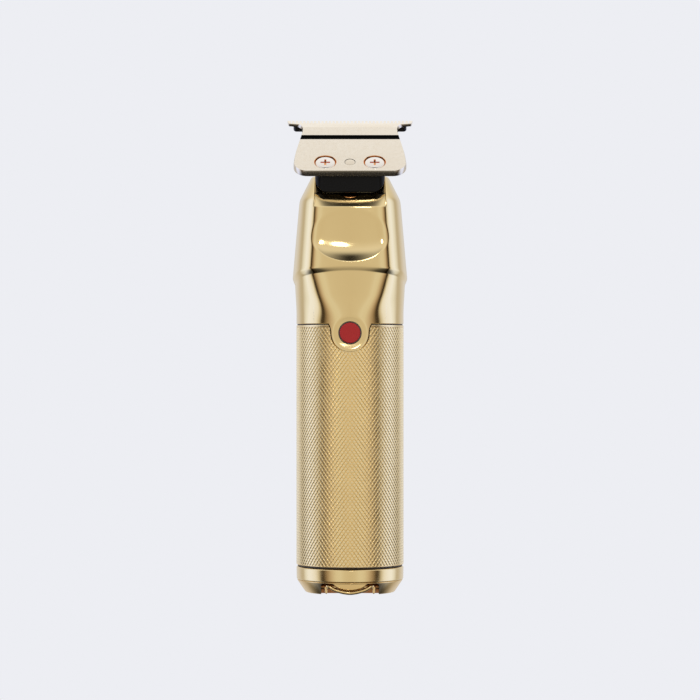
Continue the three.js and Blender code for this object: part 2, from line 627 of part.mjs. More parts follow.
/** U of spring wire: a bar behind the bracket and two arms up under the cutter. */
function tensionSpring() {
  const lean = turn(BLADE.lean);
  const at = (x, v, w) => vec(
    x, BLADE.y + v * Math.cos(lean) - w * Math.sin(lean), BLADE.z + v * Math.sin(lean) + w * Math.cos(lean));
  const arm = [at(8.6, 22, -4.5), at(8.6, 18, -4.5), at(8.6, 14, -4.6), vec(8.5, -2.6, 136), vec(7.9, -2.85, 134.6), vec(6.6, -2.85, 134)];
  const mirrored = arm.map((p) => vec(-p.x, p.y, p.z)).reverse();
  return node('tension_spring', solid(wire([...arm, ...mirrored], 0.4, 48, 6)), steel);
}

// ---- Drive ------------------------------------------------------------------------------------

function motorCan() {
  const { radius, z: [z0, z1], bore } = MOTOR;
  const profile = [
    [0, z0], [radius, z0], [radius, z1 - 1], [radius - 1, z1], [bore, z1], [bore, z0 + 1.5], [0, z0 + 1.5],
  ];
  const flats = [-1, 1].map((side) => solid(block([side * 9.2 - 1.6, side * 9.2 + 1.6], [-20, 20], [z0 - 1, z0 + 2])));
  const body = solid(turned(profile, 40, 0, MOTOR_Y)).subtract(flats[0]).subtract(flats[1]);
  return node('motor_can', body, steel);
}

const motorEndBell = () => node('motor_end_bell', solid(rod(9.3, MOTOR.bell, 0, MOTOR_Y)), blackPlastic);

const motorShaft = () => node(
  'motor_shaft', solid(rod(MOTOR.shaft, [MOTOR.z[0] + 2, MOTOR.shaftTop], 0, MOTOR_Y, 16)), steel);

/** Split collar that locates the motor in the head. */
function motorMount() {
  const collar = solid(ring(MOTOR.radius + AIR, CAVITY.radius[0] - AIR, [94, 102], 40, 0, MOTOR_Y));
  const split = solid(block([-2, 2], [MOTOR_Y + 5, 20], [90, 110]));
  return node('motor_mount', collar.subtract(split), blackPlastic);
}

const noseBearing = () => node(
  'nose_bearing', solid(ring(MOTOR.shaft + 0.25, CAVITY.boreRadius - AIR, [119.5, 123.5], 24, 0, MOTOR_Y)), bronze);

/** Cam disc with its crank pin; at rest the pin stands straight behind the shaft's axis. */
function eccentricCam() {
  const { radius, z: [z0, z1], throw: reach, pinRadius, pinTop } = CAM;
  const disc = solid(rod(radius, [z0, z1], 0, MOTOR_Y, 28));
  const socket = solid(rod(MOTOR.shaft + AIR, [z0 - 1, MOTOR.shaftTop + AIR], 0, MOTOR_Y, 16));
  const pin = solid(rod(pinRadius, [z1 - 0.5, pinTop], 0, MOTOR_Y + reach, 16));
  return node('eccentric_cam', disc.subtract(socket).add(pin), steel);
}

const driveBush = () => node(
  'drive_bush', solid(ring(BUSH.bore, BUSH.radius, BUSH.z, 20, 0, MOTOR_Y + CAM.throw)), bronze);

// ---- Cell, frame and electronics --------------------------------------------------------------

/** Back half-tube with a plate below the cell and a deck above it. */
function innerChassis() {
  const { outer, inner, z: [z0, z1], plate, deck, deckRadius } = CHASSIS;
  let body = solid(ring(inner, outer, [z0, z1], 32)).subtract(solid(block([-20, 20], [-20, -3], [0, 100])));
  body = body.add(solid(rod(outer, [z0, z0 + plate], 0, 0, 32)));
  body = body.add(solid(rod(deckRadius, deck, 0, 0, 32)));
  body = body.add(solid(rod(outer, [deck[0], z1], 0, 0, 32)));
  for (const hole of capScrewHoles(CAP_SCREW.shank + AIR, [z0 - 1, CAP_SCREW.top + AIR])) {
    body = body.subtract(hole);
  }
  return node('inner_chassis', body, blackPlastic);
}

function batteryCell() {
  const { radius, z: [z0, z1] } = CELL;
  const profile = [[0, z0], [radius, z0], [radius, z1 - 1.5], [radius - 0.6, z1 - 1], [2.8, z1 - 1], [2.8, z1], [0, z1]];
  return node('battery_cell', solid(turned(profile, 36)), cellWrap);
}

const contactPlate = (name, z) => node(name, solid(block([-5, 5], [-3.5, 3.5], z)), steel);

const circuitBoard = () => node(
  'circuit_board', solid(block([-BOARD.halfWidth, BOARD.halfWidth], BOARD.y, BOARD.z)), boardGreen);

function tactSwitch() {
  const front = BUTTON.flangeY[1] + 1.05;
  const body = solid(block([-3, 3], [front + 0.9, BOARD.y[0] - 0.05], [LOBE.z - 3, LOBE.z + 3]));
  return node('tact_switch', body.add(solid(crossRod(1.6, [front, front + 1.2], 0, LOBE.z, 20))), blackPlastic);
}

const chargeChip = () => node(
  'charge_chip', solid(block([-2.5, 2.5], [BOARD.y[1] + 0.05, BOARD.y[1] + 1.3], [76.5, 81.5])), blackPlastic);

const capacitor = () => node('capacitor', solid(crossRod(1.9, [BOARD.y[1] + 0.05, -2], 5.6, 79, 20)), steel);

/** Motor wire from the back of the board up to the end bell. */
function motorLead(name, x, material) {
  const end = MOTOR.bell[0] - AIR;
  const route = [vec(x, BOARD.y[1] + 0.5, 84), vec(x, -5, 84.3), vec(x, -2.6, 85.4), vec(x, -2, 86.6), vec(x, -2, end)];
  return node(name, solid(wire(route, 0.5, 7)), material);
}

// ---- Assembly ---------------------------------------------------------------------------------

const foot = new THREE.Group();
foot.add(
  endCap(), hangLoop(), loopPin(), endRing(), endSeal(), chargingSocket(),
  capScrew('end_cap_screw_left', -1), capScrew('end_cap_screw_right', 1),
);

const inside = new THREE.Group();
inside.add(
  innerChassis(), batteryCell(), contactPlate('battery_contact_bottom', [18.2, 19.2]),
  contactPlate('battery_contact_top', [69.75, 70.7]), circuitBoard(), tactSwitch(), chargeChip(), capacitor(),
  motorLead('lead_red', 3.4, redWire), motorLead('lead_black', -3.4, rubber),
);

const head = new THREE.Group();
head.add(knurledSleeve(), neckSeal(), headHousing(), buttonBezel(), powerButton(), headBracket(), neckScrew());

const drive = new THREE.Group();
drive.add(
  motorCan(), motorEndBell(), motorShaft(), motorMount(), noseBearing(), eccentricCam(), driveBush(),
  tensionSpring(),
);

const bladeSet = new THREE.Group();
bladeSet.rotation.x = turn(BLADE.lean);
bladeSet.position.set(0, BLADE.y, BLADE.z);
bladeSet.add(
  fixedBlade(), movingCutter(), cutterYoke(), locatingPin(),
  bladeScrew('blade_screw_left', -1), bladeScrew('blade_screw_right', 1),
  bracketScrew('bracket_screw_left', -1), bracketScrew('bracket_screw_right', 1),
);

const trimmer = new THREE.Group();
trimmer.add(foot, inside, head, drive, bladeSet);

export default trimmer;
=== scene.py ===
"""Finished looks of a cordless T-blade hair trimmer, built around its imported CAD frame.

Each sub-assembly is a class that holds its sizes in millimetres and builds its own pieces. A piece is a
surface worked out with numpy, as a grid over two parameters or as a profile turned or carried along a
path, and it is put into a mesh in metres, in the frame's own axes: +Z up the barrel and -Y out of the
front. The blade's pieces are drawn in the plate's own axes and leaned back with it.
"""

from __future__ import annotations

import logging
import math
from dataclasses import dataclass, field
from enum import Enum
from typing import Callable, Sequence

import bmesh
import bpy
import numpy as np
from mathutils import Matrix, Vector
from mathutils.geometry import tessellate_polygon

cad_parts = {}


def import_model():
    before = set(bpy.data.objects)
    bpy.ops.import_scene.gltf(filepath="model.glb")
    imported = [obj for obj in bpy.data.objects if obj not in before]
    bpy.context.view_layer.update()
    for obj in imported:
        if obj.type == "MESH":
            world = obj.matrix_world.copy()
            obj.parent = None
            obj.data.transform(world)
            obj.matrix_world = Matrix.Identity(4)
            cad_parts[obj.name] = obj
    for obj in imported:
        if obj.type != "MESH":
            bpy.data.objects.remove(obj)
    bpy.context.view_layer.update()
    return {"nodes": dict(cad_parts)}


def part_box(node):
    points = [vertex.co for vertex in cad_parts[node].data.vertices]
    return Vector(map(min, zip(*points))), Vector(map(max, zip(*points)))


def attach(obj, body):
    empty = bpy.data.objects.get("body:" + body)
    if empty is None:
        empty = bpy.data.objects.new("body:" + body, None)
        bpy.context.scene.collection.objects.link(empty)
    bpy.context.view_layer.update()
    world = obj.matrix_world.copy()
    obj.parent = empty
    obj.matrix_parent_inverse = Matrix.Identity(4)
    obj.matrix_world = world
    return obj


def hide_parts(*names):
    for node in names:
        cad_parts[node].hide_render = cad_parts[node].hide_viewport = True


LOG = logging.getLogger("trimmer")
MM = 0.001
TURN = 2.0 * math.pi
Array = np.ndarray
# The most of an edge that a rounded corner takes, so that two neighbours never meet.
FILLET_SHARE = 0.48
# Points closer than the first are joined and edges shorter than the second vanish, in metres.
MERGE_GAP = 2e-6
SHORTEST_EDGE = 1e-7
# Turns in degrees at which an edge starts to show wear and at which it shows all of it.
WEAR_TURNS = (12.0, 60.0)


# ---- Surfaces ---------------------------------------------------------------------------------


@dataclass
class Shell:
    """One closed skin of a piece: its points in millimetres, its faces and the finish they take."""

    points: Array
    faces: list[Array]
    finish: int = 0

    def moved(self, place: Callable[[Array], Array]) -> "Shell":
        """The same skin with its points carried to another place.

        Args:
            place: a function from points to points.

        Returns:
            The skin in its new place.
        """
        return Shell(place(self.points), self.faces, self.finish)


def grid_quads(rows: int, columns: int, wrap_rows: bool = False, wrap_columns: bool = True) -> Array:
    """Quads of a grid whose points run row by row.

    Args:
        rows: number of rows of points.
        columns: number of points in a row.
        wrap_rows: joins the last row to the first.
        wrap_columns: joins the last column to the first.

    Returns:
        Indices, four to a quad.
    """
    row = np.arange(rows if wrap_rows else rows - 1)[:, None]
    column = np.arange(columns if wrap_columns else columns - 1)[None, :]
    next_row, next_column = (row + 1) % rows, (column + 1) % columns
    corners = [row * columns + column, row * columns + next_column]
    corners += [next_row * columns + next_column, next_row * columns + column]
    return np.stack([c.ravel() for c in corners], axis=1)


def filleted(corners: Sequence[Sequence[float]], steps: int = 5) -> Array:
    """A closed outline whose corners are rounded.

    Each corner (a, b, reach) becomes a circular arc that leaves its two edges at the reach, or at about
    half of the shorter edge. At a right angle the reach is the arc's radius. A corner without one stays
    a point.

    Args:
        corners: the corners in order, each (a, b) or (a, b, reach).
        steps: straight pieces to an arc.

    Returns:
        The outline's points, two numbers each.
    """
    full = np.array([tuple(c) + (0.0,) * (3 - len(c)) for c in corners], float)
    points, reaches = full[:, :2], full[:, 2]
    back, ahead = np.roll(points, 1, 0) - points, np.roll(points, -1, 0) - points
    shorter = np.minimum(np.linalg.norm(back, axis=1), np.linalg.norm(ahead, axis=1))
    cut = np.minimum(reaches, FILLET_SHARE * shorter)[:, None]
    start = points + back / np.linalg.norm(back, axis=1)[:, None] * cut
    end = points + ahead / np.linalg.norm(ahead, axis=1)[:, None] * cut
    # Half the chord over the cut is the corner's weight that makes a rational quadratic a circle's arc.
    ratio = np.linalg.norm(end - start, axis=1) / np.maximum(2 * cut[:, 0], 1e-9)
    weight = np.clip(ratio, 0.05, 1.0)[:, None, None]
    t = np.linspace(0.0, 1.0, steps + 1)[None, :, None]
    shares = (1 - t) ** 2, 2 * weight * t * (1 - t), t**2
    arcs = shares[0] * start[:, None] + shares[1] * points[:, None] + shares[2] * end[:, None]
    arcs = arcs / (shares[0] + shares[1] + shares[2])
    rows = [arc if reach > 0 else point[None] for arc, point, reach in zip(arcs, points, reaches)]
    return np.concatenate(rows)


def lathe(
    profile: Array, sides: int = 96, centre: tuple[float, float] = (0.0, 0.0), finish: int = 0
) -> Shell:
    """A closed profile of (radius, height) points turned about an upright axis.

    The point at height z and angle a is (cx + r cos a, cy + r sin a, z).

    Args:
        profile: the profile's points, in order round it.
        sides: number of steps in a turn.
        centre: where the axis stands.
        finish: index of the skin's finish.

    Returns:
        The turned skin.
    """
    angle = np.arange(sides) * TURN / sides
    radius, height = profile[:, 0, None], profile[:, 1, None]
    grid = [centre[0] + radius * np.cos(angle), centre[1] + radius * np.sin(angle), height + 0 * angle]
    points = np.stack(grid, axis=-1).reshape(-1, 3)
    return Shell(points, [grid_quads(len(profile), sides, wrap_rows=True)], finish)


def counter_clockwise(loop: Array) -> Array:
    """The same loop, turned round if its area is negative."""
    after = np.roll(loop, -1, 0)
    area = np.sum(loop[:, 0] * after[:, 1] - loop[:, 1] * after[:, 0])
    return loop if area > 0 else loop[::-1]


def inset(loop: Array, distance: float) -> Array:
    """A loop moved to its left by a distance, each point along the bisector of its two edges."""
    edges = np.roll(loop, -1, 0) - loop, loop - np.roll(loop, 1, 0)
    normals = [np.stack([-e[:, 1], e[:, 0]], 1) / np.linalg.norm(e, axis=1)[:, None] for e in edges]
    spread = 1.0 + np.sum(normals[0] * normals[1], axis=1)
    return loop + (normals[0] + normals[1]) / np.maximum(spread, 0.5)[:, None] * distance


def prism(
    outline: Array, span: tuple[float, float], bevels: tuple[float, float] = (0.15, 0.15),
    holes: Sequence[Array] = (), steps: int = 2, finish: int = 0, drop: float | None = None,
) -> Shell:
    """A flat plate with rounded or chamfered rims.

    Level k of a rim of size b is inset by b (1 - sin a) and raised by b (1 - cos a), a from 0 to 90
    degrees, so one step is a flat chamfer. The two faces are the innermost levels, filled.

    Args:
        outline: the plate's outer loop.
        span: its lower and upper heights.
        bevels: rim sizes at the lower and the upper face.
        holes: loops cut out of it.
        steps: steps in a rim.
        finish: index of the skin's finish.
        drop: height of the upper rim where it isn't its inset.

    Returns:
        The plate's skin, lying across Z.
    """
    fall = bevels[1] if drop is None else drop
    loops = [counter_clockwise(outline)] + [counter_clockwise(h)[::-1] for h in holes]
    turn = np.linspace(0.0, math.pi / 2, steps + 1)
    low = [(bevels[0] * (1 - math.sin(a)), span[0] + bevels[0] * (1 - math.cos(a))) for a in turn]
    high = [(bevels[1] * (1 - math.sin(a)), span[1] - fall * (1 - math.cos(a))) for a in turn[::-1]]
    levels = low + high
    points: list[Array] = []
    faces: list[Array] = []
    total = sum(len(loop) for loop in loops)
    offset = 0
    for loop in loops:
        rings = [np.column_stack([inset(loop, d), np.full(len(loop), z)]) for d, z in levels]
        points.append(np.stack(rings))
        quads = grid_quads(len(levels), len(loop))
        level, index = np.divmod(quads, len(loop))
        faces.append(level * total + index + offset)
        offset += len(loop)
    stacked = np.concatenate(points, axis=1)
    flat = [[Vector((x, y, 0)) for x, y in inset(loop, bevels[0])] for loop in loops]
    cap = np.array(tessellate_polygon(flat))
    faces += [cap[:, ::-1], cap + (len(levels) - 1) * total]
    return Shell(stacked.reshape(-1, 3), faces, finish)


def circle(radius: float, sides: int = 48, centre: tuple[float, float] = (0.0, 0.0)) -> Array:
    """A round loop."""
    angle = np.arange(sides) * TURN / sides
    return np.column_stack([centre[0] + radius * np.cos(angle), centre[1] + radius * np.sin(angle)])


def smooth_path(knots: Array, steps: int, closed: bool = False) -> Array:
    """Points on a Catmull-Rom curve through the knots.

    Between knots p1 and p2 the curve is half of (2 p1 + (p2 - p0) t + (2 p0 - 5 p1 + 4 p2 - p3) t^2 +
    (3 p1 - p0 - 3 p2 + p3) t^3).

    Args:
        knots: the knots, in order.
        steps: points for each stretch.
        closed: joins the last knot to the first.

    Returns:
        The points along the curve.
    """
    if closed:
        wide = np.concatenate([knots[-1:], knots, knots[:2]])
    else:
        wide = np.concatenate([2 * knots[:1] - knots[1:2], knots, 2 * knots[-1:] - knots[-2:-1]])
    p0, p1, p2, p3 = (wide[i : len(wide) - 3 + i, None] for i in range(4))
    t = (np.arange(steps) / steps)[None, :, None]
    cubic = (3 * p1 - p0 - 3 * p2 + p3) * t**3
    points = 0.5 * (2 * p1 + (p2 - p0) * t + (2 * p0 - 5 * p1 + 4 * p2 - p3) * t**2 + cubic)
    points = points.reshape(-1, knots.shape[1])
    return points if closed else np.concatenate([points, knots[-1:]])


def swept(path: Array, section: Array, side: Sequence[float], finish: int = 0) -> Shell:
    """A section carried along an open path, with its ends closed.

    At each point the section's first axis is the path's direction crossed with the side vector, and its
    second is that axis crossed with the direction, so the section never twists.

    Args:
        path: points along the centre line.
        section: a closed loop in the section's two axes.
        side: a vector that the path never runs along.
        finish: index of the skin's finish.

    Returns:
        The tube's skin.
    """
    direction = np.gradient(path, axis=0)
    direction /= np.linalg.norm(direction, axis=1)[:, None]
    across = np.cross(direction, np.array(side, float))
    across /= np.linalg.norm(across, axis=1)[:, None]
    up = np.cross(across, direction)
    rings = path[:, None] + section[None, :, :1] * across[:, None] + section[None, :, 1:] * up[:, None]
    hubs = np.stack([path[0], path[-1]])
    count, size = len(path), len(section)
    points = np.concatenate([rings.reshape(-1, 3), hubs])
    around = np.arange(size)
    after = (around + 1) % size
    last = (count - 1) * size
    start_fan = np.column_stack([after, around, np.full(size, count * size)])
    end_fan = np.column_stack([last + around, last + after, np.full(size, count * size + 1)])
    return Shell(points, [grid_quads(count, size), start_fan, end_fan], finish)


def soft_step(value: Array, start: float, end: float, softness: float) -> Array:
    """A straight ramp from 0 at the start to 1 at the end, whose two corners are rounded."""
    rise = [0.5 * (value - at + np.sqrt((value - at) ** 2 + softness**2)) for at in (start, end)]
    return (rise[0] - rise[1]) / (end - start)


def soft_max(a: Array | float, b: Array, softness: Array | float) -> Array:
    """The larger of two surfaces, rounded where they are closer than the softness."""
    return np.maximum(a, b) + np.clip(softness - np.abs(a - b), 0, None) ** 2 / (4 * softness)


# ---- Meshes -----------------------------------------------------------------------------------


def shade(mesh: bpy.types.Mesh, crease: float) -> None:
    """Smooths a mesh except at its sharp edges, and stores where those are for the edge wear.

    The attribute edge_wear is 0 on flat ground and 1 at a vertex whose sharpest edge turns 60 degrees.

    Args:
        mesh: the mesh.
        crease: edges that turn more than this many degrees stay sharp.
    """
    mesh.polygons.foreach_set("use_smooth", np.ones(len(mesh.polygons), bool))
    mesh.set_sharp_from_angle(angle=math.radians(crease))
    normals = np.zeros(len(mesh.polygons) * 3)
    mesh.polygons.foreach_get("normal", normals)
    normals = normals.reshape(-1, 3)
    edge_of_loop = np.zeros(len(mesh.loops), int)
    mesh.loops.foreach_get("edge_index", edge_of_loop)
    totals = np.zeros(len(mesh.polygons), int)
    mesh.polygons.foreach_get("loop_total", totals)
    face_of_loop = np.repeat(np.arange(len(mesh.polygons)), totals)
    order = np.argsort(edge_of_loop, kind="stable")
    edges, faces = edge_of_loop[order], face_of_loop[order]
    pair = np.flatnonzero(edges[1:] == edges[:-1])
    cosine = np.sum(normals[faces[pair]] * normals[faces[pair + 1]], axis=1)
    turn = np.degrees(np.arccos(np.clip(cosine, -1, 1)))
    ends = np.zeros(len(mesh.edges) * 2, int)
    mesh.edges.foreach_get("vertices", ends)
    ends = ends.reshape(-1, 2)[edges[pair]]
    wear = np.zeros(len(mesh.vertices), np.float32)
    start, full = WEAR_TURNS
    worn = np.clip((turn - start) / (full - start), 0, 1).astype(np.float32)
    for end in ends.T:
        np.maximum.at(wear, end, worn)
    attribute = mesh.attributes.get("edge_wear") or mesh.attributes.new("edge_wear", "FLOAT", "POINT")
    attribute.data.foreach_set("value", wear)


def make_piece(
    name: str, shells: Sequence[Shell], finishes: Sequence[bpy.types.Material], crease: float = 34.0
) -> bpy.types.Object:
    """Puts skins into one mesh object that sits at the origin.

    Args:
        name: the object's name.
        shells: its skins, in millimetres.
        finishes: the materials that the skins name by index.
        crease: edges that turn more than this many degrees stay sharp.

    Returns:
        The object.
    """
    offsets = np.cumsum([0] + [len(s.points) for s in shells])
    faces = [(block + at).tolist() for s, at in zip(shells, offsets) for block in s.faces]
    finish = [s.finish for s in shells for block in s.faces for _ in block]
    mesh = bpy.data.meshes.new(name)
    points = np.concatenate([s.points for s in shells]) * MM
    mesh.from_pydata(points.tolist(), [], [face for block in faces for face in block])
    mesh.polygons.foreach_set("material_index", np.array(finish, np.int32))
    for material in finishes:
        mesh.materials.append(material)
    work = bmesh.new()
    work.from_mesh(mesh)
    bmesh.ops.remove_doubles(work, verts=work.verts, dist=MERGE_GAP)
    bmesh.ops.dissolve_degenerate(work, edges=work.edges, dist=SHORTEST_EDGE)
    bmesh.ops.delete(work, geom=[v for v in work.verts if not v.link_faces], context="VERTS")
    bmesh.ops.recalc_face_normals(work, faces=work.faces)
    work.to_mesh(mesh)
    work.free()
    shade(mesh, crease)
    piece = bpy.data.objects.new(name, mesh)
    bpy.context.scene.collection.objects.link(piece)
    return piece


class Cut(Enum):
    """What a tool does to a piece."""

    AWAY = "DIFFERENCE"
    JOIN = "UNION"
    KEEP = "INTERSECT"


def together(shells: Sequence[Shell]) -> Shell:
    """Several skins that don't touch, as one tool."""
    offsets = np.cumsum([0] + [len(s.points) for s in shells])
    faces = [block + at for s, at in zip(shells, offsets) for block in s.faces]
    return Shell(np.concatenate([s.points for s in shells]), faces, shells[0].finish)


def carve(piece: bpy.types.Object, tools: Sequence[Shell], crease: float = 34.0, how: Cut = Cut.AWAY) -> None:
    """Cuts closed skins out of a piece, joins them to it, or keeps what lies inside them.

    Args:
        piece: the object that is changed.
        tools: the skins, in millimetres; the cut faces take a tool's finish.
        crease: edges that turn more than this many degrees stay sharp.
        how: what the tools do.
    """
    for tool in tools:
        cutter = make_piece("cutter", [tool], list(piece.data.materials))
        modifier = piece.modifiers.new("carve", "BOOLEAN")
        modifier.operation = how.value
        modifier.solver = "MANIFOLD"
        modifier.object = cutter
        bpy.context.view_layer.update()
        graph = bpy.context.evaluated_depsgraph_get()
        mesh = bpy.data.meshes.new_from_object(piece.evaluated_get(graph))
        piece.modifiers.clear()
        piece.data = mesh
        bpy.data.objects.remove(cutter)
    shade(piece.data, crease)


def hand_over(piece: bpy.types.Object, body: str, nodes: Sequence[str]) -> bpy.types.Object:
    """Ties a finished piece to its body and hides the CAD nodes that it stands for.

    Args:
        piece: the finished piece.
        body: the body that it rides on.
        nodes: the CAD nodes that it replaces.

    Returns:
        The piece.
    """
    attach(piece, body)
    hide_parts(*nodes)
    LOG.info("%s: %d faces", piece.name, len(piece.data.polygons))
    return piece


def sizes(node: str) -> tuple[Array, Array]:
    """The lowest and highest corners of a CAD node in millimetres."""
    low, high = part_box(node)
    return np.array(low) / MM, np.array(high) / MM


# ---- Finishes ---------------------------------------------------------------------------------


class Grain(Enum):
    """How a surface was worked: which way its finest marks run."""

    CAST = (260.0, 260.0, 260.0)
    TURNED = (60.0, 60.0, 5200.0)
    GROUND = (3600.0, 90.0, 90.0)
    MOULDED = (1500.0, 1500.0, 1500.0)


class Group:
    """A shader node group with named inputs and outputs, built once and placed in many materials."""

    def __init__(self, name: str, inputs: dict[str, tuple[str, object]], outputs: dict[str, str]) -> None:
        """Makes an empty group.

        Args:
            name: the group's name.
            inputs: socket kind and default of each input.
            outputs: socket kind of each output.
        """
        self.tree = bpy.data.node_groups.new(name, "ShaderNodeTree")
        for label, (kind, default) in inputs.items():
            socket = self.tree.interface.new_socket(label, in_out="INPUT", socket_type=kind)
            if default is not None:
                socket.default_value = default
        for label, kind in outputs.items():
            self.tree.interface.new_socket(label, in_out="OUTPUT", socket_type=kind)
        self.entry = self.tree.nodes.new("NodeGroupInput").outputs
        self.exit = self.tree.nodes.new("NodeGroupOutput").inputs

    def math(self, operation: str, a: object, b: object, clamp: bool = False) -> bpy.types.NodeSocket:
        """The output of a Math node on two sockets or numbers."""
        node = self.tree.nodes.new("ShaderNodeMath")
        node.operation, node.use_clamp = operation, clamp
        for socket, value in zip(node.inputs, (a, b)):
            wire(self.tree, value, socket)
        return node.outputs[0]


def wire(tree: bpy.types.NodeTree, value: object, socket: bpy.types.NodeSocket) -> None:
    """Links a socket to an input, or sets the input to a plain value."""
    if isinstance(value, bpy.types.NodeSocket):
        tree.links.new(value, socket)
    else:
        socket.default_value = value


def mix_colour(tree: bpy.types.NodeTree, share: object, a: object, b: object) -> bpy.types.NodeSocket:
    """The output of a colour Mix node."""
    node = tree.nodes.new("ShaderNodeMix")
    node.data_type = "RGBA"
    for name, value in (("Factor_Float", share), ("A_Color", a), ("B_Color", b)):
        wire(tree, value, next(s for s in node.inputs if s.identifier == name))
    return next(s for s in node.outputs if s.identifier == "Result_Color")


def noise(
    tree: bpy.types.NodeTree, vector: object, scale: object, detail: float = 3.0
) -> bpy.types.NodeSocket:
    """The value of a Noise texture, about 0.5 on average."""
    node = tree.nodes.new("ShaderNodeTexNoise")
    node.inputs["Detail"].default_value = detail
    wire(tree, vector, node.inputs["Vector"])
    wire(tree, scale, node.inputs["Scale"])
    return node.outputs["Fac"]


class ShaderKit:
    """The effects that several finishes share."""

    def __init__(self) -> None:
        """Builds the groups."""
        self.drift = self._drift()
        self.marks = self._marks()
        self.edges = self._edges()

    @staticmethod
    def _drift() -> Group:
        """Slow change of tone: the colour times 1 + Amount (n - 0.5), n a broad noise."""
        group = Group(
            "tone_drift",
            {
                "Vector": ("NodeSocketVector", None), "Color": ("NodeSocketColor", (1, 1, 1, 1)),
                "Amount": ("NodeSocketFloat", 0.1), "Scale": ("NodeSocketFloat", 60.0),
            },
            {"Color": "NodeSocketColor", "Mask": "NodeSocketFloat"},
        )
        tree, entry = group.tree, group.entry
        field_value = noise(tree, entry["Vector"], entry["Scale"])
        swing = group.math("MULTIPLY", group.math("SUBTRACT", field_value, 0.5), entry["Amount"])
        level = group.math("ADD", swing, 1.0)
        scaled = tree.nodes.new("ShaderNodeVectorMath")
        scaled.operation = "SCALE"
        tree.links.new(entry["Color"], scaled.inputs[0])
        tree.links.new(level, scaled.inputs["Scale"])
        tree.links.new(scaled.outputs[0], group.exit["Color"])
        tree.links.new(field_value, group.exit["Mask"])
        return group

    @staticmethod
    def _marks() -> Group:
        """Fine marks: a noise stretched along the grain, and the roughness that goes with it."""
        group = Group(
            "fine_marks",
            {
                "Vector": ("NodeSocketVector", None), "Grain": ("NodeSocketVector", (1.0, 1.0, 1.0)),
                "Low": ("NodeSocketFloat", 0.1), "High": ("NodeSocketFloat", 0.2),
            },
            {"Height": "NodeSocketFloat", "Roughness": "NodeSocketFloat"},
        )
        tree, entry = group.tree, group.entry
        stretched = tree.nodes.new("ShaderNodeVectorMath")
        stretched.operation = "MULTIPLY"
        tree.links.new(entry["Vector"], stretched.inputs[0])
        tree.links.new(entry["Grain"], stretched.inputs[1])
        height = noise(tree, stretched.outputs[0], 1.0, 4.0)
        broad = noise(tree, entry["Vector"], 140.0, 2.0)
        blend = group.math("ADD", group.math("MULTIPLY", height, 0.6), group.math("MULTIPLY", broad, 0.4))
        spread = tree.nodes.new("ShaderNodeMapRange")
        spread.inputs["From Min"].default_value = 0.32
        spread.inputs["From Max"].default_value = 0.68
        tree.links.new(blend, spread.inputs["Value"])
        tree.links.new(entry["Low"], spread.inputs["To Min"])
        tree.links.new(entry["High"], spread.inputs["To Max"])
        tree.links.new(height, group.exit["Height"])
        tree.links.new(spread.outputs["Result"], group.exit["Roughness"])
        return group

    @staticmethod
    def _edges() -> Group:
        """Handling wear: where the mesh turns sharply, broken up by a noise, the edge colour shows."""
        group = Group(
            "edge_wear",
            {
                "Vector": ("NodeSocketVector", None), "Color": ("NodeSocketColor", (1, 1, 1, 1)),
                "Edge Color": ("NodeSocketColor", (1, 1, 1, 1)), "Amount": ("NodeSocketFloat", 0.5),
            },
            {"Color": "NodeSocketColor", "Mask": "NodeSocketFloat"},
        )
        tree, entry = group.tree, group.entry
        worn = tree.nodes.new("ShaderNodeAttribute")
        worn.attribute_name = "edge_wear"
        broken = group.math("MULTIPLY", worn.outputs["Fac"], noise(tree, entry["Vector"], 900.0))
        mask = group.math("MULTIPLY", broken, entry["Amount"], clamp=True)
        tree.links.new(mix_colour(tree, mask, entry["Color"], entry["Edge Color"]), group.exit["Color"])
        tree.links.new(mask, group.exit["Mask"])
        return group


@dataclass(frozen=True)
class Finish:
    """One finish: its colour, how glossy it is, and how it was worked."""

    name: str
    colour: tuple[float, float, float]
    roughness: tuple[float, float]
    metallic: float = 1.0
    grain: Grain = Grain.CAST
    depth: float = 1.0e-6
    drift: float = 0.05
    coat: float = 0.0
    specular: float = 0.5
    edge: tuple[float, float, float] | None = None
    edge_amount: float = 0.5

    def material(self, kit: ShaderKit) -> bpy.types.Material:
        """Builds the finish's material.

        Args:
            kit: the shared effects.

        Returns:
            A material with one Principled shader.
        """
        material = bpy.data.materials.new(self.name)
        material.use_nodes = True
        tree = material.node_tree
        shader = tree.nodes["Principled BSDF"]
        place = tree.nodes.new("ShaderNodeTexCoord").outputs["Object"]
        colour = (*self.colour, 1.0)
        drift = self._place(tree, kit.drift, {"Vector": place, "Color": colour, "Amount": self.drift})
        edge = (*(self.edge or self.colour), 1.0)
        worn = self._place(tree, kit.edges, {
            "Vector": place, "Color": drift["Color"], "Edge Color": edge, "Amount": self.edge_amount,
        })
        low, high = self.roughness
        marks = self._place(tree, kit.marks, {
            "Vector": place, "Grain": self.grain.value, "Low": low, "High": high,
        })
        bump = tree.nodes.new("ShaderNodeBump")
        bump.inputs["Distance"].default_value = self.depth
        tree.links.new(marks["Height"], bump.inputs["Height"])
        tree.links.new(worn["Color"], shader.inputs["Base Color"])
        tree.links.new(marks["Roughness"], shader.inputs["Roughness"])
        tree.links.new(bump.outputs["Normal"], shader.inputs["Normal"])
        shader.inputs["Metallic"].default_value = self.metallic
        shader.inputs["Coat Weight"].default_value = self.coat
        shader.inputs["Specular IOR Level"].default_value = self.specular
        shader.inputs["Coat Roughness"].default_value = 0.05
        return material

    @staticmethod
    def _place(tree: bpy.types.NodeTree, group: Group, values: dict[str, object]) -> bpy.types.NodeOutputs:
        """Places a group in a material and gives it its values."""
        node = tree.nodes.new("ShaderNodeGroup")
        node.node_tree = group.tree
        for label, value in values.items():
            wire(tree, value, node.inputs[label])
        return node.outputs


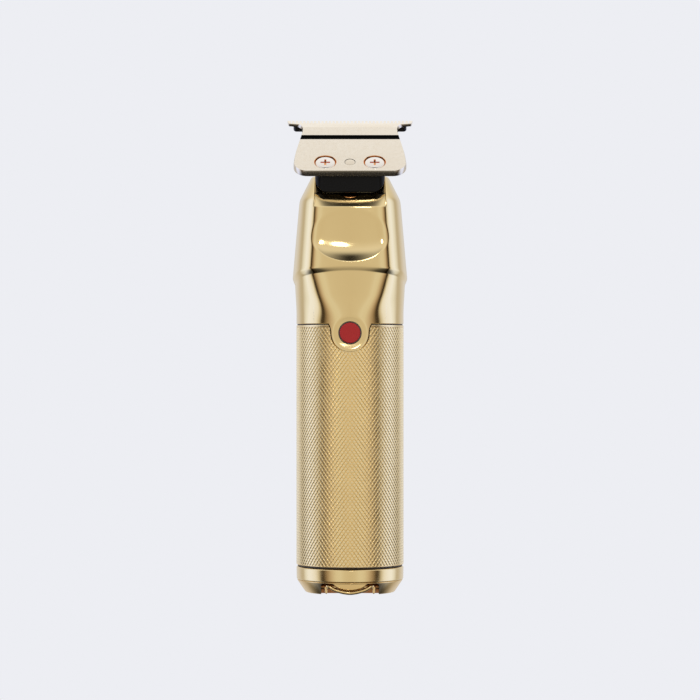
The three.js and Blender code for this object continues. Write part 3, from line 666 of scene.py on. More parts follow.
GOLD = (0.93, 0.735, 0.38)
FINISHES = (
    Finish("head_gold", GOLD, (0.06, 0.10), coat=0.25, depth=6e-7, edge=(1.0, 0.86, 0.58)),
    Finish("barrel_gold", (0.98, 0.79, 0.44), (0.2, 0.3), depth=8e-7, edge=(1.0, 0.84, 0.52)),
    Finish(
        "ring_gold", GOLD, (0.10, 0.20), grain=Grain.TURNED, depth=1.2e-6, coat=0.2,
        edge=(1.0, 0.88, 0.62),
    ),
    Finish(
        "foot_gold", (0.90, 0.66, 0.31), (0.09, 0.17), grain=Grain.TURNED, depth=5e-7,
        edge=(1.0, 0.82, 0.5),
    ),
    # Dark brown painted on the notch's walls: painted shade standing in for the shade that falls inside the
    # notch.
    Finish("notch_painted_shade", (0.2, 0.06, 0.018), (0.15, 0.25), grain=Grain.TURNED, edge=(0.8, 0.45, 0.2)),
    Finish(
        "blade_gold", (0.82, 0.72, 0.57), (0.16, 0.24), grain=Grain.GROUND, depth=8e-7,
        edge=(1.0, 0.95, 0.85),
    ),
    Finish("blade_band", (0.002, 0.002, 0.002), (0.6, 0.8), 0.0, Grain.GROUND, 8e-7, specular=0.02),
    Finish(
        "cutter_black", (0.03, 0.03, 0.033), (0.25, 0.4), 0.8, Grain.GROUND, 1e-6,
        edge=(0.2, 0.2, 0.21),
    ),
    Finish(
        "screw_copper", (0.80, 0.36, 0.12), (0.12, 0.22), grain=Grain.TURNED, depth=1e-6,
        edge=(1.0, 0.6, 0.3),
    ),
    Finish("screw_face", (0.90, 0.84, 0.76), (0.12, 0.2), grain=Grain.TURNED, depth=1e-6),
    Finish("steel", (0.6, 0.6, 0.61), (0.22, 0.35), grain=Grain.TURNED, depth=1e-6, edge=(0.8, 0.8, 0.8)),
    Finish("dark_chrome", (0.16, 0.14, 0.13), (0.06, 0.12), depth=4e-7, edge=(0.4, 0.38, 0.35)),
    Finish("bronze", (0.52, 0.34, 0.14), (0.35, 0.5), depth=3e-6, edge=(0.7, 0.5, 0.25)),
    Finish("bracket_black", (0.008, 0.008, 0.009), (0.2, 0.32), 0.0, Grain.MOULDED, 2e-6, specular=0.12),
    Finish(
        "black_plastic", (0.02, 0.02, 0.021), (0.38, 0.5), 0.0, Grain.MOULDED, 4e-6,
        edge=(0.06, 0.06, 0.06),
    ),
    Finish("button_red", (0.62, 0.035, 0.038), (0.32, 0.42), 0.0, Grain.MOULDED, 2e-6, 0.06, specular=0.25),
    Finish("seal_rubber", (0.045, 0.028, 0.014), (0.35, 0.5), 0.0, Grain.MOULDED, 3e-6),
    Finish("cell", (0.05, 0.12, 0.32), (0.25, 0.35), 0.0, Grain.MOULDED, 2e-6),
    Finish("board", (0.02, 0.14, 0.06), (0.3, 0.45), 0.0, Grain.MOULDED, 3e-6),
    Finish("wire_red", (0.45, 0.02, 0.02), (0.45, 0.6), 0.0, Grain.MOULDED, 3e-6),
    Finish("wire_black", (0.02, 0.02, 0.02), (0.45, 0.6), 0.0, Grain.MOULDED, 3e-6),
)


# ---- Studio -----------------------------------------------------------------------------------


@dataclass
class Studio:
    """Camera, pale paper all round, and the dome of light that the metal mirrors.

    Bearings are in degrees from straight in front, the same on both sides; elevations are in degrees
    above level. The camera looks through the dome and the key light.
    """

    distance: float = 0.833
    eye: float = 0.07675
    lens: float = 134.8
    paper: tuple[float, float, float] = (0.847, 0.855, 0.896)
    dome: float = 1.2
    centre: float = 0.1
    bearings: tuple[float, ...] = (
        0, 12, 20, 30, 40, 50, 58, 64, 70, 78, 90, 100, 110, 120, 128, 140, 155, 180,
    )
    tones: tuple[tuple[float, float, float], ...] = (
        (0.65, 0.60, 0.52), (0.68, 0.64, 0.57), (0.74, 0.73, 0.70), (0.72, 0.70, 0.65), (0.59, 0.51, 0.44),
        (0.33, 0.25, 0.18), (0.06, 0.045, 0.03), (0.07, 0.05, 0.035), (0.60, 0.57, 0.52), (0.86, 0.92, 1.16),
        (0.92, 1.03, 1.46), (0.94, 1.07, 1.55), (0.82, 0.90, 1.14), (0.54, 0.52, 0.52), (0.56, 0.55, 0.56),
        (0.66, 0.66, 0.74), (0.71, 0.72, 0.77), (0.66, 0.60, 0.50),
    )
    ceiling: tuple[float, float, float] = (0.84, 0.83, 0.83)
    back_glow: tuple[float, float, float] = (1.04, 1.06, 1.10)
    falls: tuple[tuple[float, float], ...] = (
        (-90, 0.03), (-58, 0.04), (-48, 0.12), (-41, 0.46), (-34, 0.85), (-22, 1.0),
    )
    # Pairs of where a change starts and how far it takes: the ceiling's elevations, its glow's bearings
    # and elevations, and the dark patch's lower and rear edges, which are shares of the dome's radius.
    ceiling_rise: tuple[float, float] = (18, 26)
    glow_bearings: tuple[float, float] = (110, 50)
    glow_fade: tuple[float, float] = (82, 12)
    patch_half: float = 0.2
    patch_low: tuple[float, float] = (0.80, 0.12)
    patch_rear: tuple[float, float] = (-0.12, 0.07)
    patch_depth: float = 0.97
    key_bearing: tuple[float, float] = (1.0, 7.4)
    key_heights: tuple[float, float] = (0.52, 0.90)
    key_light: float = 7.0
    key_reach: float = 0.88
    key_roundness: float = 0.6

    def build(self) -> None:
        """Sets up the whole studio."""
        self._camera()
        world = bpy.data.worlds.new("paper")
        world.use_nodes = True
        world.node_tree.nodes["Background"].inputs["Color"].default_value = (*self.paper, 1.0)
        bpy.context.scene.world = world
        self._dome()
        self._key()

    def _camera(self) -> None:
        """A long lens in front, level with the trimmer's middle."""
        camera = bpy.data.objects.new("camera", bpy.data.cameras.new("camera"))
        camera.data.lens = self.lens
        camera.data.sensor_width = 36.0
        camera.data.clip_start, camera.data.clip_end = 0.01, 50.0
        camera.location = (0.0, -self.distance, self.eye)
        camera.rotation_euler = (math.pi / 2, 0.0, 0.0)
        bpy.context.scene.collection.objects.link(camera)
        bpy.context.scene.camera = camera
        bpy.context.scene.view_settings.view_transform = "Standard"

    def _dome(self) -> None:
        """The dome: a sphere whose light is the bearing's tone, dimmed downwards and ceiling-white above.

        A dark patch hangs high in front, and the ceiling glows brighter towards the back.
        """
        bearing, elevation = np.meshgrid(np.linspace(-180, 180, 181), np.linspace(-89, 89, 90))
        tones = np.array(self.tones)
        light = np.stack([np.interp(np.abs(bearing), self.bearings, tones[:, k]) for k in range(3)], axis=-1)
        falls = np.array(self.falls)
        light *= np.interp(elevation, falls[:, 0], falls[:, 1])[..., None]
        above = np.clip((elevation - self.ceiling_rise[0]) / self.ceiling_rise[1], 0, 1)[..., None]
        behind = np.clip((np.abs(bearing) - self.glow_bearings[0]) / self.glow_bearings[1], 0, 1)
        behind = behind * np.clip((self.glow_fade[0] - elevation) / self.glow_fade[1], 0, 1)
        roof = np.array(self.ceiling) + (np.array(self.back_glow) - self.ceiling) * behind[..., None]
        light += (roof - light) * above * above * (3 - 2 * above)
        radians = np.radians(elevation), np.radians(bearing)
        x, y = np.cos(radians[0]) * np.sin(radians[1]), -np.cos(radians[0]) * np.cos(radians[1])
        z = np.sin(radians[0])
        below = np.clip((self.patch_low[0] - z) / self.patch_low[1], 0, None)
        past = np.clip((y - self.patch_rear[0]) / self.patch_rear[1], 0, None)
        patch = np.exp(-((x / self.patch_half) ** 2) - below**2 - past**2)
        light *= (1 - self.patch_depth * patch)[..., None]
        points = np.stack([x, y, z], axis=-1) * self.dome + (0, 0, self.centre)
        faces = grid_quads(*bearing.shape, wrap_columns=False)
        dome = self._lit_mesh("dome", points.reshape(-1, 3), faces, light.reshape(-1, 3))
        dome.visible_camera = False
        dome.data.materials[0].cycles.emission_sampling = "NONE"

    def _key(self) -> None:
        """The key light: a rounded card inside the dome, a little to the right and above."""
        angle = np.linspace(0, TURN, 49)[:-1]
        u, v = (np.sign(f(angle)) * np.abs(f(angle)) ** self.key_roundness for f in (np.cos, np.sin))
        bearing = np.radians(np.mean(self.key_bearing) + 0.5 * np.ptp(self.key_bearing) * u)
        height = np.mean(self.key_heights) + 0.5 * np.ptp(self.key_heights) * v
        reach = self.dome * self.key_reach
        points = np.stack([reach * np.sin(bearing), -reach * np.cos(bearing), height], axis=1)
        light = np.full((len(points), 3), self.key_light)
        card = self._lit_mesh("key", points, [tuple(range(len(points)))], light)
        card.visible_camera = False

    @staticmethod
    def _lit_mesh(name: str, points: Array, faces: Sequence, light: Array) -> bpy.types.Object:
        """A staged sheet that gives off light, which is stored point by point.

        Args:
            name: the sheet's name.
            points: its points in metres.
            faces: its faces.
            light: the light of each point.

        Returns:
            The sheet.
        """
        material = bpy.data.materials.new(f"stage_{name}")
        material.use_nodes = True
        tree = material.node_tree
        glow = tree.nodes.new("ShaderNodeEmission")
        stored = tree.nodes.new("ShaderNodeAttribute")
        stored.attribute_name = "light"
        tree.links.new(stored.outputs["Color"], glow.inputs["Color"])
        tree.links.new(glow.outputs[0], tree.nodes["Material Output"].inputs["Surface"])
        mesh = bpy.data.meshes.new(f"stage_{name}")
        mesh.from_pydata(points.tolist(), [], np.asarray(faces).tolist())
        mesh.materials.append(material)
        attribute = mesh.color_attributes.new("light", "FLOAT_COLOR", "POINT")
        attribute.data.foreach_set("color", np.column_stack([light, np.ones(len(light))]).ravel())
        sheet = bpy.data.objects.new(f"stage_{name}", mesh)
        bpy.context.scene.collection.objects.link(sheet)
        return sheet


# ---- The trimmer's pieces ---------------------------------------------------------------------


@dataclass
class Shop:
    """What every sub-assembly works with: the finishes by name."""

    finishes: dict[str, bpy.types.Material]

    def pick(self, *names: str) -> list[bpy.types.Material]:
        """The finishes with these names, in order."""
        return [self.finishes[name] for name in names]


def from_front(points: Array) -> Array:
    """Carries a shape drawn across Z to one drawn in x and z, with its height along +Y."""
    return points[:, [0, 2, 1]]


def from_side(points: Array) -> Array:
    """Carries a shape drawn across Z to one drawn in y and z, with its height along X."""
    return points[:, [2, 0, 1]]


def cross_recess(reach: float, half: float, top: float, floor: float, finish: int = 0) -> Shell:
    """A cross-shaped recess whose arms narrow towards the floor.

    Args:
        reach: length of an arm from the middle.
        half: half the width of an arm.
        top: height of the open end.
        floor: height of the bottom.
        finish: index of the walls' finish.

    Returns:
        The tool that cuts it.
    """
    arm = np.array([(half, half), (half, reach), (-half, reach), (-half, half)])
    quarter = np.array([(0, -1), (1, 0)])
    loops = [arm @ np.linalg.matrix_power(quarter, k) for k in (0, 3, 2, 1)]
    outline = counter_clockwise(np.concatenate([loop[:3] for loop in loops]))
    levels = [(1.0, top), (0.94, floor + 0.25 * (top - floor)), (0.62, floor)]
    rings = [np.column_stack([outline * scale, np.full(len(outline), z)]) for scale, z in levels]
    cap = np.array(tessellate_polygon([[Vector((x, y, 0)) for x, y in outline]]))
    last = (len(levels) - 1) * len(outline)
    walls = grid_quads(len(levels), len(outline))
    return Shell(np.concatenate(rings), [walls, cap, cap[:, ::-1] + last], finish)


@dataclass
class Foot:
    """The turned foot, its polished ring, the loop that folds into its notch, and its fastenings."""

    shop: Shop
    radius: float = 17.0
    bottom_radius: float = 14.15
    cone_radius: float = 16.85
    cone_top: float = 4.1
    notch_half: float = 9.05
    notch_top: float = 3.75
    notch_back: float = -5.5
    boss_half: float = 5.8
    boss_drop: float = 2.9
    boss_front: float = -12.9
    pivot: tuple[float, float] = (-7.0, 2.2)
    eye_x: float = 7.6
    wire: float = 0.6
    bar: tuple[float, float] = (-13.75, 0.78)
    socket_y: float = 4.0
    screw_at: tuple[float, float] = (9.2, 5.0)

    def build(self) -> None:
        """Makes every piece of the foot."""
        self._cap()
        self._ring()
        self._seal()
        self._loop()
        self._pin()
        self._socket()
        for side, hand in ((-1, "left"), (1, "right")):
            self._screw(side, hand)

    def _cap(self) -> None:
        """A cone over a spigot, hollow from above, with the notch, its boss and the holes below."""
        profile = filleted([
            (0, 0), (self.bottom_radius - 1.6, 0), (self.bottom_radius - 1.5, 0.12),
            (self.bottom_radius, 0.12, 0.3), (self.cone_radius, self.cone_top, 0.3), (13.6, self.cone_top),
            (13.5, 13.5, 0.3), (12.1, 13.5), (12.1, 5.6), (0, 5.6),
        ], 4)
        cap = make_piece("foot_cap", [lathe(profile, 160)], self.shop.pick("foot_gold", "notch_painted_shade"))
        notch = filleted([
            (-self.notch_half, -1), (self.notch_half, -1), (self.notch_half, self.notch_top, 0.7),
            (-self.notch_half, self.notch_top, 0.7),
        ])
        # The notch's cut walls take the dark brown finish, which is painted shade inside the notch.
        carve(cap, [prism(notch, (-self.radius - 1, self.notch_back), finish=1).moved(from_front)])
        across = np.linspace(-1.0, 1.0, 33)
        lens = np.column_stack([self.boss_half * across, self.notch_top - self.boss_drop * (1 - across**2)])
        root = self.notch_top + 0.4
        lens = np.concatenate([lens, [(self.boss_half, root), (-self.boss_half, root)]])
        boss = prism(lens, (self.boss_front, self.notch_back + 0.5), (0.3, 0.0), steps=3)
        carve(cap, [boss.moved(from_front)], how=Cut.JOIN)
        x, y = self.screw_at
        holes = [prism(circle(3.9, 64, (0, self.socket_y)), (-1, 7), (0, 0))]
        holes += [prism(circle(2.0, 40, (side * x, y)), (-1, 2.1), (0, 0)) for side in (-1, 1)]
        holes.append(self._along_x(0.92, 10.5))
        carve(cap, [together(holes[:3]), holes[3]])
        hand_over(cap, "body", ["end_cap"])

    def _along_x(self, radius: float, half_length: float) -> Shell:
        """A rod along X on the loop's pivot."""
        rod = prism(circle(radius, 40, self.pivot), (-half_length, half_length), (0.12, 0.12))
        return rod.moved(from_side)

    def _ring(self) -> None:
        """The polished ring: an upright band with rounded edges that starts where the cone ends."""
        top = sizes("end_ring")[1][2]
        profile = filleted([
            (13.9, self.cone_top), (self.radius - 0.1, self.cone_top, 0.5), (self.radius, top, 0.5),
            (13.9, top),
        ], 7)
        ring = make_piece("polished_ring", [lathe(profile, 192)], self.shop.pick("ring_gold"))
        hand_over(ring, "body", ["end_ring"])

    def _seal(self) -> None:
        """The dark line between the ring and the sleeve."""
        low, high = sizes("end_seal")
        profile = filleted([(15.0, low[2]), (16.6, low[2], 0.15), (16.6, high[2], 0.15), (15.0, high[2])], 3)
        seal = make_piece("ring_seal", [lathe(profile, 160)], self.shop.pick("seal_rubber"))
        hand_over(seal, "body", ["end_seal"])

    def _loop(self) -> None:
        """A stirrup of round wire between two eyes, whose front bar dips in the middle."""
        y, z = self.pivot
        bar_y, bar_z = self.bar
        half = np.array([
            (self.eye_x, y - 1.1, z), (self.eye_x, y - 3.5, z + 0.3), (self.eye_x - 0.2, bar_y + 1.4, 3.0),
            (self.eye_x - 1.1, bar_y + 0.25, 2.8), (self.eye_x - 3.4, bar_y, bar_z + 0.35 * (3.0 - bar_z)),
        ])
        knots = np.concatenate([half, [(0, bar_y, bar_z)], half[::-1] * (-1, 1, 1)])
        path = smooth_path(knots, 14)
        loop = make_piece("hang_stirrup", [swept(path, circle(self.wire, 20), (0.05, 0.1, 1.0))],
                          self.shop.pick("foot_gold"))
        eyes, tabs = [], []
        for side in (-1, 1):
            eye = prism(circle(1.5, 48, self.pivot), (side * self.eye_x - 0.6, side * self.eye_x + 0.6),
                        (0.2, 0.2), [circle(1.0, 36, self.pivot)], steps=3)
            eyes.append(eye.moved(from_side))
            tab = filleted([
                (side * 7.05, 0.35, 0.4), (side * 7.75, 0.35, 0.3), (side * 8.2, 3.2, 0.4),
                (side * 7.2, 3.4, 0.4),
            ])
            tabs.append(prism(tab, (bar_y + 1.7, bar_y + 2.7), (0.25, 0.25), steps=3).moved(from_front))
        carve(loop, [together(eyes), together(tabs)], how=Cut.JOIN)
        carve(loop, [self._along_x(1.0, self.eye_x + 2)])
        hand_over(loop, "loop", ["hang_loop"])

    def _pin(self) -> None:
        """The pin that the loop turns on."""
        pin = make_piece("loop_hinge_pin", [self._along_x(0.8, 10.2)], self.shop.pick("foot_gold"))
        hand_over(pin, "body", ["loop_pin"])

    def _socket(self) -> None:
        """The charging inlet: a flanged barrel round a centre pin."""
        profile = filleted([
            (0, 1.7), (0.35, 1.7), (0.55, 2.1), (0.55, 10.0), (1.75, 10.0), (1.75, 0.7), (2.1, 0.2, 0.2),
            (3.4, 0.2, 0.3), (3.6, 0.8), (3.6, 12.5), (0, 12.5),
        ])
        turned = lathe(profile, 64, (0, self.socket_y))
        socket = make_piece("charge_inlet", [turned], self.shop.pick("black_plastic"))
        hand_over(socket, "body", ["charging_socket"])

    def _screw(self, side: int, hand: str) -> None:
        """A cap screw seen from below, with a cross recess."""
        x, y = self.screw_at
        profile = filleted([
            (0, 0.45), (1.1, 0.5, 0.3), (1.7, 0.9, 0.3), (1.7, 1.8), (0.9, 1.8), (0.9, 16.6), (0.5, 17.2),
            (0, 17.2),
        ], 4)
        screw = make_piece(f"foot_screw_{hand}", [lathe(profile, 48, (side * x, y))], self.shop.pick("steel"))
        recess = cross_recess(1.0, 0.24, 0.0, -0.9)
        carve(screw, [recess.moved(lambda p: p * (1, 1, -1) + (side * x, y, 0.3))])
        hand_over(screw, "body", [f"end_cap_screw_{hand}"])


@dataclass
class Barrel:
    """The knurled sleeve and the thin gasket above it."""

    shop: Shop
    inner: float = 15.5
    crest: float = 17.0
    valley: float = 16.84
    around: int = 86
    diamond: float = 1.71
    flat: float = 0.62
    bands: tuple[float, float] = (0.3, 0.7)
    tongue_gap: float = 0.35

    def build(self, tongue: Array) -> None:
        """Makes the sleeve and the gasket.

        Args:
            tongue: outline of the head's tongue in x and z.
        """
        low, high = sizes("knurled_sleeve")
        slot = prism(inset(counter_clockwise(tongue), -self.tongue_gap), (-19, -8), (0, 0)).moved(from_front)
        skin = self._knurl(low[2], high[2])
        sleeve = make_piece("knurled_tube", [skin], self.shop.pick("barrel_gold"), 12.0)
        carve(sleeve, [slot], 12.0)
        hand_over(sleeve, "body", ["knurled_sleeve"])
        low, high = sizes("neck_seal")
        profile = [(15.5, low[2]), (16.7, low[2]), (16.7, high[2]), (15.5, high[2])]
        seal = make_piece("neck_gasket", [lathe(np.array(profile), 160)], self.shop.pick("seal_rubber"))
        carve(seal, [slot])
        hand_over(seal, "body", ["neck_seal"])

    def _knurl(self, bottom: float, top: float) -> Shell:
        """The sleeve's skin: rows of blunt pyramids between two smooth bands.

        Nodes of a lattice stand every half diamond round and up the tube. Where the two node numbers add
        up to an even number a pyramid stands, whose four corners are its odd neighbours in the valleys,
        and whose blunt top is the same diamond made smaller. At the ends the diamonds are cut level.

        Args:
            bottom: height of the lower rim.
            top: height of the upper rim.

        Returns:
            The closed skin.
        """
        start, end = bottom + self.bands[0], top - self.bands[1]
        rows = 2 * round((end - start) / self.diamond)
        columns = 2 * self.around
        rise, step = (end - start) / rows, TURN / columns

        def place(column: Array, row: Array, radius: float) -> Array:
            """Points of the lattice on a radius, cut level at the ends."""
            angle = column * step
            z = start + np.clip(row, 0, rows) * rise
            return np.stack([radius * np.sin(angle), -radius * np.cos(angle), z + 0 * angle], axis=-1)

        column, row = np.meshgrid(np.arange(columns), np.arange(rows + 1))
        lattice = place(column.ravel(), row.ravel(), self.valley)
        middle = (column + row).ravel() % 2 == 0
        a, b = column.ravel()[middle], row.ravel()[middle]
        over, up = np.array([(1, 0), (0, 1), (-1, 0), (0, -1)]).T
        corners = np.clip(b[:, None] + up, 0, rows) * columns + (a[:, None] + over) % columns
        tops = place(a[:, None] + self.flat * over, b[:, None] + self.flat * up, self.crest)
        base = len(lattice)
        top_index = base + np.arange(tops.shape[0] * 4).reshape(-1, 4)
        sides = []
        for k, after in enumerate((1, 2, 3, 0)):
            loop = [corners[:, k], corners[:, after], top_index[:, after], top_index[:, k]]
            sides.append(np.stack(loop, axis=1))
        ends = [(end + 0.06, self.crest - 0.06), (end + 0.16, self.crest)]
        ends += [(top - 0.14, self.crest), (top - 0.04, self.crest - 0.04), (top, self.crest - 0.14)]
        ends += [(top, self.inner), (bottom, self.inner), (bottom, self.crest - 0.2)]
        ends += [(bottom + 0.08, self.crest - 0.06), (start - 0.14, self.crest - 0.02)]
        ends.append((start - 0.06, self.crest - 0.06))
        angle = np.arange(columns) * step
        rings = [np.stack([r * np.sin(angle), -r * np.cos(angle), z + 0 * angle], axis=1) for z, r in ends]
        offset = base + top_index.size
        tube = np.concatenate([rows * columns + np.arange(columns)]
                              + [offset + k * columns + np.arange(columns) for k in range(len(rings))]
                              + [np.arange(columns)])
        walls = tube[grid_quads(len(rings) + 2, columns)]
        points = np.concatenate([lattice, tops.reshape(-1, 3), *rings])
        return Shell(points, [top_index, *sides, walls])


@dataclass
class Head:
    """The cast head: round at the neck, flattened and chamfered above the step."""

    shop: Shop
    radius: float = 17.0
    bottom: float = 85.1
    top: float = 131.6
    spigot: float = 15.2
    spigot_bottom: float = 72.0
    step: tuple[float, float] = (97.4, 99.25)
    lift: float = 3.95
    lift_end: float = 118.0
    bend: float = 124.1
    crease_ratio: float = 0.663
    cheek: float = 50.6
    side: float = 80.0
    sharpness: tuple[float, float] = (12.0, 20.0)
    crown: float = 150.0
    neck_spread: float = 0.5
    neck_fall: float = 1.3
    panel: tuple[float, float] = (18.2, 16.4)
    width_tapers: tuple[float, float] = (0.0867, 0.428)
    front_tapers: tuple[float, float] = (0.135, 0.301)
    bend_softness: float = 0.5
    step_softness: float = 0.22
    neck_creases: tuple[float, float] = (7.1, 11.6)
    crease_past: float = 3.0
    squaring: float = 1.6
    recess_half: float = 11.08
    recess: tuple[float, float] = (-13.9, 121.7)
    recess_slopes: tuple[float, float] = (0.78, 5.0)
    recess_ledge: float = 4.25
    recess_softness: float = 0.14
    wall_round: float = 0.3
    rim: float = 0.55
    dish_z: float = 112.3
    dish: tuple[float, float] = (12.2, 7.85)
    dish_depth: float = 1.32
    dish_power: float = 2.1
    dish_skew: float = 0.36
    dish_skew_range: tuple[float, float] = (0.2, 2.0)
    dish_softness: tuple[float, float] = (0.06, 0.14)
    lobe_z: float = 82.1
    lobe: float = 5.8
    lobe_flare: tuple[float, float] = (6.75, 85.1)
    lobe_pull: tuple[float, float] = (5.9, 84.0)
    lobe_arc: float = 0.75
    dimple: tuple[float, float] = (5.3, 0.9)
    dimple_softness: float = 0.08
    pressed_margin: float = 0.8
    pocket: tuple[float, float] = (-8.55, 127.05)
    spigot_hollow: tuple[float, float] = (13.6, 94.6)
    cavity_y: float = 2.0
    cavity: tuple[tuple[float, float], ...] = ((4.0, 118.4), (10.7, 118.4), (12.6, 104.0), (12.6, 94.8))
    front_columns: int = 44
    side_columns: int = 112
    join_row: float = 91.5

    def tongue(self) -> Array:
        """Outline of the tongue over the barrel, from its flare on the left round to the right."""
        right = self._lobe_edge(np.linspace(0.0, 1.0, 48))
        above = np.array([(self.lobe_flare[0], self.lobe_flare[1] + 4.0)])
        half = np.concatenate([right, above])
        return np.concatenate([half, half[::-1] * (-1, 1)])[:-1]

    def _lobe_edge(self, share: Array) -> Array:
        """Points of the tongue's right edge: a quarter circle from the bottom, then the flare.

        Args:
            share: how far along, 0 at the bottom and 1 at the sharp upper corner.

        Returns:
            Points in x and z.
        """
        turn = np.clip(share / self.lobe_arc, 0, 1) * math.pi / 2
        arc = np.stack([self.lobe * np.sin(turn), self.lobe_z - self.lobe * np.cos(turn)], axis=-1)
        t = np.clip((share - self.lobe_arc) / (1 - self.lobe_arc), 0, 1)[..., None]
        start, pull, end = (np.array(p) for p in ((self.lobe, self.lobe_z), self.lobe_pull, self.lobe_flare))
        flare = (1 - t) ** 2 * start + 2 * t * (1 - t) * pull + t**2 * end
        return np.where((share <= self.lobe_arc)[..., None], arc, flare)

    def _reach(self, z: Array, upper: Array) -> tuple[Array, Array]:
        """Half-width and front reach at a height: the neck's below the step, the panel's above it.

        Args:
            z: heights.
            upper: 0 below the step and 1 above it.

        Returns:
            The two reaches.
        """
        neck, climb = self.step[0] - self.bottom, self.step[0] + self.lift - self.bottom
        neck_width = self.radius + self.neck_spread * (z - self.bottom) / neck
        neck_front = self.radius - self.neck_fall * (z - self.bottom) / climb
        past = 0.5 * (z - self.bend + np.sqrt((z - self.bend) ** 2 + self.bend_softness))
        above = z - self.step[1]
        width = self.panel[0] - self.width_tapers[0] * above - self.width_tapers[1] * past
        front = self.panel[1] - self.front_tapers[0] * (above - self.lift) - self.front_tapers[1] * past
        curl = np.clip((z - self.top + self.rim) / self.rim, 0, 1)
        drop = self.rim * (1 - np.sqrt(1 - curl**2))
        mixed = [a + (b - a) * upper - drop for a, b in ((neck_width, width), (neck_front, front))]
        return mixed[0], mixed[1]

    def _section(self, angle: Array, front: Array, width: Array, crease: Array, sharpness: Array) -> Array:
        """Radius of the chamfered section: each face's distance over the cosine to it, power-mean mixed.

        The front and back faces are slightly crowned: each is an arc of a large circle.

        Args:
            angle: directions from the front.
            front: distance of the front and back faces.
            width: half-width at the sides.
            crease: distance of the front creases from the middle.
            sharpness: power of the mean; the higher, the sharper the creases.

        Returns:
            The radii.
        """
        cheek, side = math.radians(self.cheek), math.radians(self.side)
        folded = np.arccos(np.clip(np.abs(np.cos(angle)), 0, 1))
        cheek_reach = front * math.cos(cheek) + crease * math.sin(cheek)
        side_reach = width * math.sin(side) * 2 ** (1 / sharpness)
        back = self.crown - front
        crowned = np.sqrt(np.clip(self.crown**2 - (back * np.sin(folded)) ** 2, 0, None))
        crowned = crowned - back * np.cos(folded)
        total = np.clip(crowned, 1.0, None) ** -sharpness
        for normal, distance in ((cheek, cheek_reach), (side, side_reach)):
            for offset in (folded - normal, folded + normal, math.pi - folded - normal):
                total = total + (np.clip(np.cos(offset), 0, None) / distance) ** sharpness
        return total ** (-1 / sharpness)

    def _radius(self, angle: Array, row: Array) -> tuple[Array, Array]:
        """Radius and height of the outer skin at an angle on a row; rows ride up in an arch.

        Args:
            angle: directions from the front.
            row: the rows' heights at the sides.

        Returns:
            Radii and heights.
        """
        low, high = self.step
        climb = (row - self.bottom) / (low - self.bottom)
        rise = np.where(row <= low, climb, (self.lift_end - row) / (self.lift_end - high))
        z = row + self.lift * np.abs(np.cos(angle)) * np.clip(rise, 0, 1)
        upper = soft_step(row, low, high, self.step_softness)
        width, front = self._reach(z, upper)
        share = np.clip((z - self.bottom) / (low + self.crease_past - self.bottom), 0, 1)
        narrow, wide = self.neck_creases
        crease = self.crease_ratio * width * upper
        crease = crease + (narrow + (wide - narrow) * share) * (1 - upper)
        share = np.clip(self.squaring * share, 0, 1)
        squareness = share * share * (3 - 2 * share)
        sharpness = self.sharpness[0] + (self.sharpness[1] - self.sharpness[0]) * upper
        chamfered = self._section(angle, front, width, crease, sharpness)
        return self.radius + (chamfered - self.radius) * squareness, z

    def _outer(self) -> Array:
        """The outer skin of the right half, as rows of points from the front's middle to the back's.

        Columns up to the recess's wall keep their x, so that the wall is straight. Beyond it they share
        out the angle. On the wall itself x follows a quarter round of the wall's edge radius.

        Returns:
            Rows by columns by three.
        """
        step_start, step_end = self.step[0] - 0.4, self.step[1] + 0.4
        recess_start, recess_end = self.recess[1] - 5, self.bend + 1
        rows = np.concatenate([
            np.linspace(self.join_row, step_start, 18)[:-1],
            np.linspace(step_start, step_end, 16),
            np.linspace(step_end, recess_start, 52)[1:],
            np.linspace(recess_start, recess_end, 30)[1:],
            np.linspace(recess_end, self.top - self.rim, 18)[1:],
            self.top - self.rim * (1 - np.sin(np.linspace(0, math.pi / 2, 6)[1:])),
        ])
        turn = np.linspace(0, math.pi / 2, 5)
        front_x = np.linspace(0, self.recess_half, self.front_columns + 1)
        wall_x = self.recess_half + self.wall_round * (1 - np.cos(turn))
        wall_depth = self.wall_round * (1 - np.sin(turn))
        fixed = np.concatenate([front_x, wall_x])
        row = rows[:, None]
        angle = np.arcsin(fixed / self.radius)[None, :] + 0 * row
        for _ in range(12):
            radius, _ = self._radius(angle, row)
            angle = 0.5 * angle + 0.5 * np.arcsin(np.clip(fixed / radius, 0, 0.98))
        spread = np.linspace(0, 1, self.side_columns + 1)[None, 1:]
        beyond = angle[:, -1:] + (math.pi - angle[:, -1:]) * spread
        angle = np.concatenate([angle, beyond], axis=1)
        radius, z = self._radius(angle, row)
        x, y = radius * np.sin(angle), -radius * np.cos(angle)
        count = self.front_columns + 1
        x[:, : len(fixed)] = fixed
        y = self._dished(x, y, z)
        depth = self._recessed(y, z[:, :1]) - y
        y[:, :count] += depth[:, :count]
        y[:, count : len(fixed)] += np.minimum(wall_depth, depth[:, count : len(fixed)])
        return np.stack([x, y, z], axis=-1)

    def _recessed(self, y: Array, z: Array) -> Array:
        """The shoulder's floor: it slopes up and back from a level, rounded front edge.

        Args:
            y: the skin's, rows by columns.
            z: height of each row.

        Returns:
            The skin with the floor cut into it.
        """
        rise = z - self.recess[1]
        edge = y[np.argmin(np.abs(rise))] - self.recess[0]
        steep, rejoin = self.recess_slopes
        ledge = self.recess_ledge
        floor = np.minimum(np.maximum(steep * rise, rejoin * (rise - ledge) + ledge), rise)
        surface = self.recess[0] + floor + edge * np.clip(1 - rise / ledge, 0, 1)
        return soft_max(y, surface, self.recess_softness)

